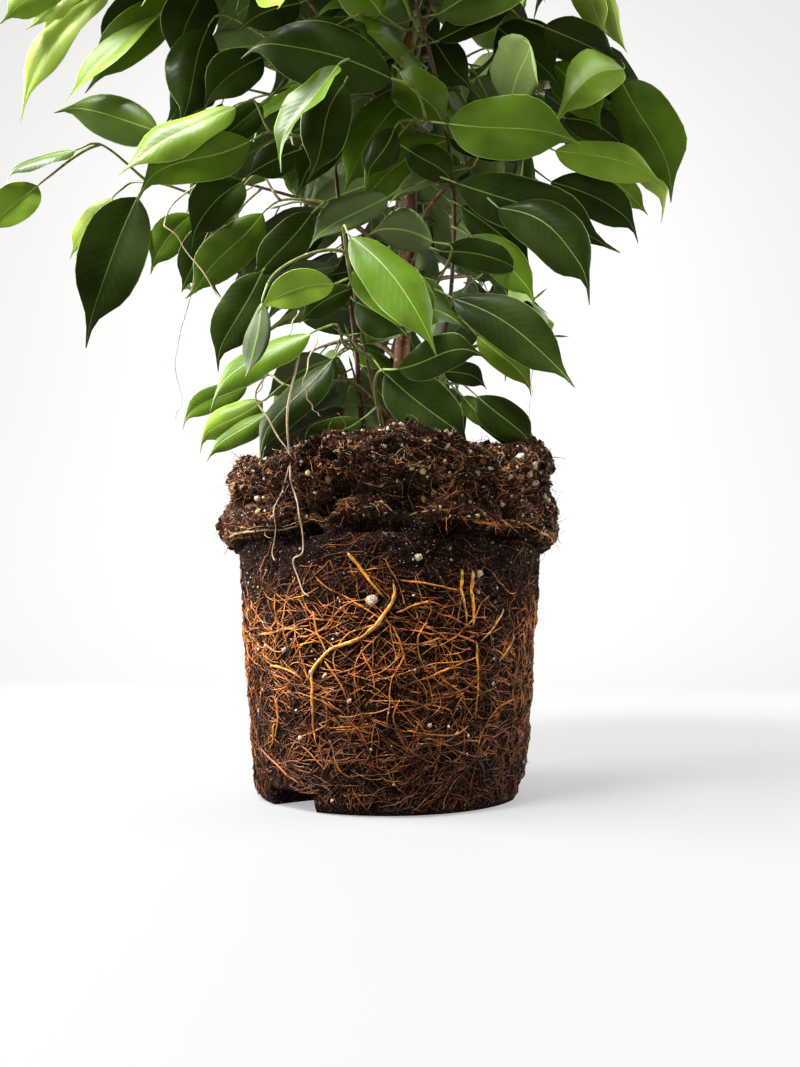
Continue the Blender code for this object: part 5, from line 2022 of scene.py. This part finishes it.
def scatter_crumbs(skin, settings, rng):
    """Crumbs of five tints on the collar, on the top and on the body."""
    crumbs = [crumb_material(*tint) for tint in CRUMB_TINTS]
    plenty, ledge, shoulder = settings.crumbs, LEDGE_HEIGHT, SHOULDER_HEIGHT
    groups = (
        ("collar_crumbs", plenty * 6 // 10, (ledge - 0.002, shoulder + 0.008), 1.0, (0.00026, 0.0009), 0),
        ("top_crumbs", plenty * 4 // 10, (shoulder + 0.002, SOIL_HEIGHT), 1.0, (0.00028, 0.0011), 0),
        ("collar_clods", plenty // 24, (ledge + 0.004, SOIL_HEIGHT - 0.002), 1.0, (0.0009, 0.0017), 1),
        ("body_crumbs", plenty // 3, (0.001, ledge), 0.5, (0.00024, 0.0007), 0),
    )
    for name, count, (low, high), lean, (least, more), level in groups:
        heights = low + (high - low) * rng.random(count) ** lean
        azimuths = rng.uniform(0, 360, count)
        places, normals = skin.at(azimuths, heights)
        radii = least + more * rng.random(count) ** 2.6
        sunk = rng.uniform(-0.3, 0.7, count) if level == 0 else rng.uniform(-0.45, 0.15, count)
        places = places + normals * (radii * sunk)[:, None]
        places[:, 2] = np.maximum(places[:, 2], radii * 1.7)
        kinds = rng.choice(5, count, p=(0.40, 0.23, 0.18, 0.12, 0.07))
        tufted = np.array([noise.noise(Vector(place) * 70) for place in places])
        edge = (heights > 0.176) & (tufted + 0.25 * rng.normal(size=count) > 0.16) & (level == 0)
        kinds = np.where(edge, rng.choice((1, 2, 3, 3, 4), count), kinds)
        scatter_lumps(name, places, radii, kinds, crumbs, rng, level)


def scatter_grains(skin, settings, rng):
    """Pale grains: many small ones anywhere, and the few big ones."""
    count = settings.grains
    azimuths = rng.uniform(0, 360, count)
    above = rng.random(count) < 0.55
    heights = np.where(above, rng.uniform(0.145, 0.192, count), rng.uniform(0.012, 0.138, count))
    radii = 0.00028 + 0.0009 * rng.random(count) ** 3.2
    big = np.array(BIG_GRAINS)
    white = [perlite_material()]
    for name, azimuths, heights, radii, level in (
        ("pale_grains", azimuths, heights, radii, 1),
        ("big_grains", big[:, 0], big[:, 1] * MM, big[:, 2] * MM * 0.85, 2),
    ):
        places, normals = skin.at(azimuths, heights)
        places = places + normals * (radii * 0.3)[:, None]
        scatter_lumps(name, places, radii, np.zeros(len(places), int), white, rng, level, 0.25)


def scatter_fibres(skin, settings, rng):
    """Loose fibres, and tufts of pale ones at the collar's edge."""
    tubes = Tubes(3)
    everywhere = (0, 360)
    parts = settings.fibres // 12
    fine, coarse = (0.00009, 0.00018), (0.00012, 0.00025)
    mixed, dull = (RUST, AMBER, DARK, STRAW), (RUST, DARK, DARK, STRAW)
    groups = (
        (parts * 5, everywhere, (0.143, 0.187), (0.004, 0.014), fine, (RUST, *dull), (0.0, 0.7)),
        (parts * 2, everywhere, (0.183, 0.1945), (0.004, 0.012), fine, mixed, (0.3, 1.3)),
        (parts, everywhere, (0.1405, 0.146), (0.004, 0.014), fine, mixed, (0.3, 1.4)),
        (parts, (180, 360), (0.188, 0.1995), (0.004, 0.014), coarse, (RUST, DARK, STRAW), (0.2, 1.2)),
        (parts, everywhere, (0.004, 0.138), (0.003, 0.009), fine, (RUST, AMBER, *dull[1:]), (0.2, 0.9)),
    )
    for count, azimuths, heights, lengths, radii, kinds, stand in groups:
        fibres(tubes, skin, rng, count, azimuths, heights, lengths, radii, kinds, stand)
    for _ in range(settings.tufts):
        azimuth, height = rng.uniform(170, 375), rng.uniform(0.172, 0.193)
        beside, above = (azimuth - 2, azimuth + 2), (height - 0.0015, height + 0.0015)
        kinds = (AMBER, AMBER, STRAW, STRAW, RUST)
        fibres(tubes, skin, rng, 12, beside, above, (0.002, 0.0065), coarse, kinds, (0.3, 1.3))
    tubes.piece("loose_fibres", root_materials(settings), "soil")


class SAPLING_OT_peat_crumbs(bpy.types.Operator):
    """Scatter crumbs, pale grains and loose fibres over the root ball"""

    bl_idname = "sapling.peat_crumbs"
    bl_label = "Crumbs, Grains and Fibres"

    def execute(self, context):
        rng = np.random.default_rng(CRUMB_SEED)
        for scatter in (scatter_crumbs, scatter_grains, scatter_fibres):
            scatter(ball_skin(context), context.scene.sapling_ball, rng)
        return {"FINISHED"}


def laid_on(skin, path, radius):
    """Moves a path's part below the collar's edge along the front's sight lines, to lie on the ball."""
    front = np.array(FRONT_POINT)
    to = path - front
    flat, across = np.sum(to[:, :2] ** 2, axis=1), -front[1] * to[:, 1]
    reach, window = np.full(len(path), RIM_RADIUS), 4
    for _ in range(3):
        inside = np.maximum(across**2 - flat * (front[1] ** 2 - reach**2), 0)
        laid = front + to * ((across - np.sqrt(inside)) / flat)[:, None]
        azimuths = np.degrees(np.arctan2(laid[:, 1], laid[:, 0]))
        face = skin.at(azimuths, np.minimum(laid[:, 2], SHOULDER_HEIGHT))[0]
        reach = np.hypot(face[:, 0], face[:, 1]) + radius + 0.0008
        padded = np.pad(reach, window, mode="edge")
        reach = np.array([padded[k:k + 2 * window + 1].mean() for k in range(len(path))])
    share = np.interp(path[:, 2], (0.178, 0.206), (1, 0))
    return path + (laid - path) * (share * share * (3 - 2 * share))[:, None]


class SAPLING_OT_aerial_roots(bpy.types.Operator):
    """Hang the pale aerial roots"""

    bl_idname = "sapling.aerial_roots"
    bl_label = "Aerial Roots"

    def execute(self, context):
        pale = context.scene.sapling_bark.aerial_root
        skin = ball_skin(context)
        tubes = Tubes(6)
        for table in (AERIAL_ROOTS, HANGING_ROOTS):
            for spots, radius in table:
                path = smooth_path([Vector(spot) * MM for spot in spots], 8)
                share = np.linspace(0, 1, len(path))
                path = path + 0.0006 * np.stack([np.sin(share * 31), np.cos(share * 23), 0 * share], axis=1)
                if table is AERIAL_ROOTS:
                    path = laid_on(skin, path, radius * MM)
                tubes.add(path, radius * MM * (1.0 - 0.55 * share) * (1 + 0.08 * np.sin(share * 60)))
        finish = root_material("Aerial root", pale, tinted(pale, 0.6), 0.15, 0.55)
        tubes.piece("aerial_roots", [finish], "bark")
        return {"FINISHED"}


def limb_tube(tubes, limb, steps, relief, sunk, slim=1.0):
    """Adds a limb along its smoothed path. It starts a little inside what carries it."""
    start = limb.points[0] - (limb.first_ring_faces or UP) * sunk
    path = smooth_path([start] + limb.points, steps)
    radii = along_path([limb.radii[0] * 1.12] + limb.radii, steps)

    def rough(rings):
        made = np.zeros(rings.shape[:2])
        for i, ring in enumerate(rings):
            for k, (x, y, z) in enumerate(ring):
                crack = noise.noise(Vector((x * 420, y * 420, z * 60)))
                knot = noise.noise(Vector((x * 40, y * 40, z * 55)))
                band = noise.noise(Vector((x * 60, y * 60, z * 620)))
                made[i, k] = relief * (crack + 0.9 * knot + 0.35 * band)
        return made

    tubes.add(path, radii * slim, relief=rough)


class SAPLING_OT_trunk_and_stems(bpy.types.Operator):
    """Make the bark of the trunk and of the three thin stems"""

    bl_idname = "sapling.trunk_and_stems"
    bl_label = "Trunk and Stems"

    def execute(self, context):
        settings = context.scene.sapling_bark
        limbs = limbs_and_masses()[0]
        thick = bark_material("Trunk bark", settings.trunk, 0.36, (0.52, 0.36, 0.22), 200.0, 0.8, 0.75)
        thin = bark_material("Stem bark", settings.stem, 0.4, (0.42, 0.26, 0.16), 300.0, 0.4, 0.5)
        tubes = Tubes(22)
        limb_tube(tubes, limbs[0], 18, settings.relief, 0.007)
        tubes.piece("trunk_bark", [thick], "bark", ["trunk"])
        for limb in limbs[1:1 + len(STEMS)]:
            tubes = Tubes(10)
            limb_tube(tubes, limb, 14, settings.relief * 0.3, 0.006, 0.78)
            tubes.piece(limb.name + "_bark", [thin], "young_bark", [limb.name])
        return {"FINISHED"}


class SAPLING_OT_boughs(bpy.types.Operator):
    """Make the bark of the boughs"""

    bl_idname = "sapling.boughs"
    bl_label = "Boughs"

    def execute(self, context):
        settings = context.scene.sapling_bark
        wood = bark_material("Bough bark", settings.bough, 0.45, (0.45, 0.32, 0.18), 280.0, 0.5, 0.6)
        tubes, names = Tubes(9), []
        for limb in limbs_and_masses()[0][1 + len(STEMS):]:
            limb_tube(tubes, limb, 10, settings.relief * 0.35, 0.004)
            names.append(limb.name)
        tubes.piece("bough_bark", [wood], "young_bark", names)
        return {"FINISHED"}


def leaf_pieces(grown, settings, masses):
    """The leaf blades of each kind, spread over as many pieces as they need."""
    rng = np.random.default_rng(LEAF_SEED)
    finishes = (
        leaf_materials("Deep", settings.deep, (0.17, 0.25, 0.045), (0.062, 0.088, 0.030), 0.045),
        leaf_materials("Green", settings.green, (0.28, 0.40, 0.07), (0.105, 0.150, 0.045), 0.12),
        leaf_materials("Fresh", settings.fresh, (0.38, 0.53, 0.10), (0.19, 0.27, 0.07), 0.09),
        leaf_materials("Young", settings.young, (0.52, 0.68, 0.14), (0.30, 0.43, 0.08), 0.09),
    )
    for kind, materials in enumerate(finishes):
        blades = [blade for blade in grown.blades if blade.kind == kind]
        parts = math.ceil(len(blades) / BLADES_IN_PIECE) or 1
        for part in range(parts):
            chosen = blades[part::parts]
            if chosen:
                blades_piece(f"leaves_{KINDS[kind]}_{part + 1}", chosen, materials, rng, masses)


def stalk_piece(grown, settings, masses):
    """The leaves' stalks, and a bud at each twig's tip."""
    stalks = Tubes(5)
    for path in grown.stalks:
        stalks.add(smooth_path(path, 2), STALK_RADIUS * np.linspace(1.25, 0.8, 2 * len(path) - 1))
    for tip, direction in grown.buds:
        path = [tuple(tip + direction * (BUD_LENGTH * k / 4)) for k in range(len(BUD_RADII))]
        stalks.add(path, BUD_RADII)
    finish = root_material("Leaf stalk", settings.stalk, tinted(settings.stalk, 0.6), 0.1, 0.4)
    stalks.piece("leaf_stalks", [finish], "leaf", masses)


def twig_piece(grown, wood, masses):
    """The twigs, and the stems that carry them."""
    barks = [
        bark_material("Twig bark", wood.twig, 0.5, (0.45, 0.36, 0.18), 320.0, 0.3, 0.5),
        bark_material("Mass stem bark", wood.bough, 0.5, (0.45, 0.32, 0.18), 300.0, 0.4, 0.6),
    ]
    twigs = Tubes(6)
    for points, is_stem in grown.twigs:
        path = smooth_path(points, 3 if is_stem is None else 4)
        foot = BOUGH_TIP_RADIUS if is_stem else TWIG_RADIUS * 0.95
        twigs.add(path, np.linspace(foot, TWIG_TIP_RADIUS, len(path)), int(bool(is_stem)))
    twigs.piece("twigs", barks, "young_bark", masses)


class SAPLING_OT_foliage(bpy.types.Operator):
    """Grow the sprays of twigs and leaves"""

    bl_idname = "sapling.foliage"
    bl_label = "Foliage"

    def execute(self, context):
        settings = context.scene.sapling_foliage
        grown, masses = grow_crown(), [mass.name for mass in limbs_and_masses()[1]]
        leaf_pieces(grown, settings, masses)
        stalk_piece(grown, settings, masses)
        twig_piece(grown, context.scene.sapling_bark, masses)
        return {"FINISHED"}


CAMERA_TURN = math.radians(-0.735)
FLOOR_DEPTH = 2.2  # where the floor starts to curve up
SWEEP = 2.0  # the radius of that curve


def soft_light(name, place, aim, size, power):
    """A round lamp that faces the place it aims at."""
    data = bpy.data.lights.new(name, "AREA")
    data.shape = "DISK"
    data.size = size
    data.energy = power
    lamp = new_object(name, data)
    lamp.location = place
    lamp.rotation_euler = (Vector(aim) - Vector(place)).to_track_quat("-Z", "Y").to_euler()


def plain_stage_material(name, tint, floor_glow, wall_glow):
    """A plain finish with a light of its own, which goes over from the floor's to the backdrop's."""
    material, shader, nodes = fresh_material(
        name, Base_Color=(*tint, 1.0), Roughness=0.8, Specular_IOR_Level=0.2,
        Emission_Color=(1.0, 0.995, 0.985, 1),
    )
    away = nodes.add("SeparateXYZ", Vector=nodes.place()).outputs["Y"]
    nodes.put(shader.inputs["Emission Strength"], nodes.ranged(away, -0.1, 4.2, floor_glow, wall_glow))
    return material


def add_sweep(settings):
    """The floor, which curves up into the backdrop."""
    bends = [math.radians(turn) for turn in range(6, 91, 6)]
    curve = [(FLOOR_DEPTH + SWEEP * math.sin(a), SWEEP - SWEEP * math.cos(a)) for a in bends]
    profile = [(-6.0, 0.0), (FLOOR_DEPTH, 0.0), *curve, (FLOOR_DEPTH + SWEEP, 7.0)]
    points = [(x, y, z - 0.0004) for y, z in profile for x in (-7.0, 7.0)]
    faces = [(2 * k, 2 * k + 1, 2 * k + 3, 2 * k + 2) for k in range(len(profile) - 1)]
    mesh = bpy.data.meshes.new("studio_sweep")
    mesh.from_pydata(points, [], faces)
    for face in mesh.polygons:
        face.use_smooth = True
    finish = plain_stage_material("Plain floor", settings.floor, settings.floor_glow, settings.wall_glow)
    mesh.materials.append(finish)
    new_object("studio_sweep", mesh)


def add_room(scene, settings):
    """The white room all round."""
    world = bpy.data.worlds.new("Studio room")
    world.use_nodes = True
    back = world.node_tree.nodes["Background"]
    back.inputs["Color"].default_value = WHITE
    nodes = Nodes(world.node_tree)
    seen = nodes.add("LightPath").outputs["Is Camera Ray"]
    nodes.put(back.inputs["Strength"], nodes.ranged(seen, 0.0, 1.0, settings.surroundings, settings.room))
    scene.world = world
    scene.view_settings.view_transform = "Standard"


def add_camera(scene, settings):
    """The camera at the front point, turned a little to the right."""
    data = bpy.data.cameras.new("Camera")
    data.lens = settings.lens
    data.sensor_width = 36
    data.clip_start = 0.01
    camera = new_object("Camera", data)
    camera.location = FRONT_POINT
    camera.rotation_euler = (settings.camera_tilt, 0, CAMERA_TURN)
    scene.camera = camera


class SAPLING_OT_stage(bpy.types.Operator):
    """Set the floor, the light and the camera"""

    bl_idname = "sapling.stage"
    bl_label = "Stage"

    def execute(self, context):
        settings = context.scene.sapling_stage
        add_sweep(settings)
        add_room(context.scene, settings)
        middle = (0, 0, 0.3)
        soft_light("Left light", (-1.45, 0.10, 0.95), middle, 1.2, settings.key_power)
        soft_light("Right light", (1.50, 0.25, 0.85), middle, 1.2, settings.fill_power)
        soft_light("Top light", (-1.0, -1.08, 2.65), middle, 0.9, settings.top_power)
        soft_light("Backdrop light", (0, 1.5, 3.2), (0, 4.2, 1.2), 2.5, settings.backdrop_power)
        add_camera(context.scene, settings)
        return {"FINISHED"}


OPERATORS = (
    SAPLING_OT_root_ball, SAPLING_OT_root_mat, SAPLING_OT_peat_crumbs, SAPLING_OT_aerial_roots,
    SAPLING_OT_trunk_and_stems, SAPLING_OT_boughs, SAPLING_OT_foliage, SAPLING_OT_stage,
)
SETTINGS = (
    ("sapling_ball", SaplingBallSettings),
    ("sapling_bark", SaplingBarkSettings),
    ("sapling_foliage", SaplingFoliageSettings),
    ("sapling_stage", SaplingStageSettings),
)


class SAPLING_PT_panel(bpy.types.Panel):
    """Lists the sapling's pieces and their settings"""

    bl_idname = "SAPLING_PT_panel"
    bl_label = "Weeping Fig Sapling"
    bl_space_type = "VIEW_3D"
    bl_region_type = "UI"
    bl_category = "Sapling"

    def draw(self, context):
        for operator in OPERATORS:
            self.layout.operator(operator.bl_idname)
        for name, group in SETTINGS:
            box = self.layout.box()
            box.label(text=group.__doc__)
            for key in group.__annotations__:
                box.prop(getattr(context.scene, name), key)


def register():
    for name, group in SETTINGS:
        bpy.utils.register_class(group)
        setattr(bpy.types.Scene, name, PointerProperty(type=group))
    for part in (*OPERATORS, SAPLING_PT_panel):
        bpy.utils.register_class(part)


def unregister():
    for part in reversed((*OPERATORS, SAPLING_PT_panel)):
        bpy.utils.unregister_class(part)
    for name, group in reversed(SETTINGS):
        delattr(bpy.types.Scene, name)
        bpy.utils.unregister_class(group)


def main():
    register()
    for operator in OPERATORS:
        getattr(bpy.ops.sapling, operator.bl_idname.split(".")[1])()


if __name__ == "__main__":
    main()
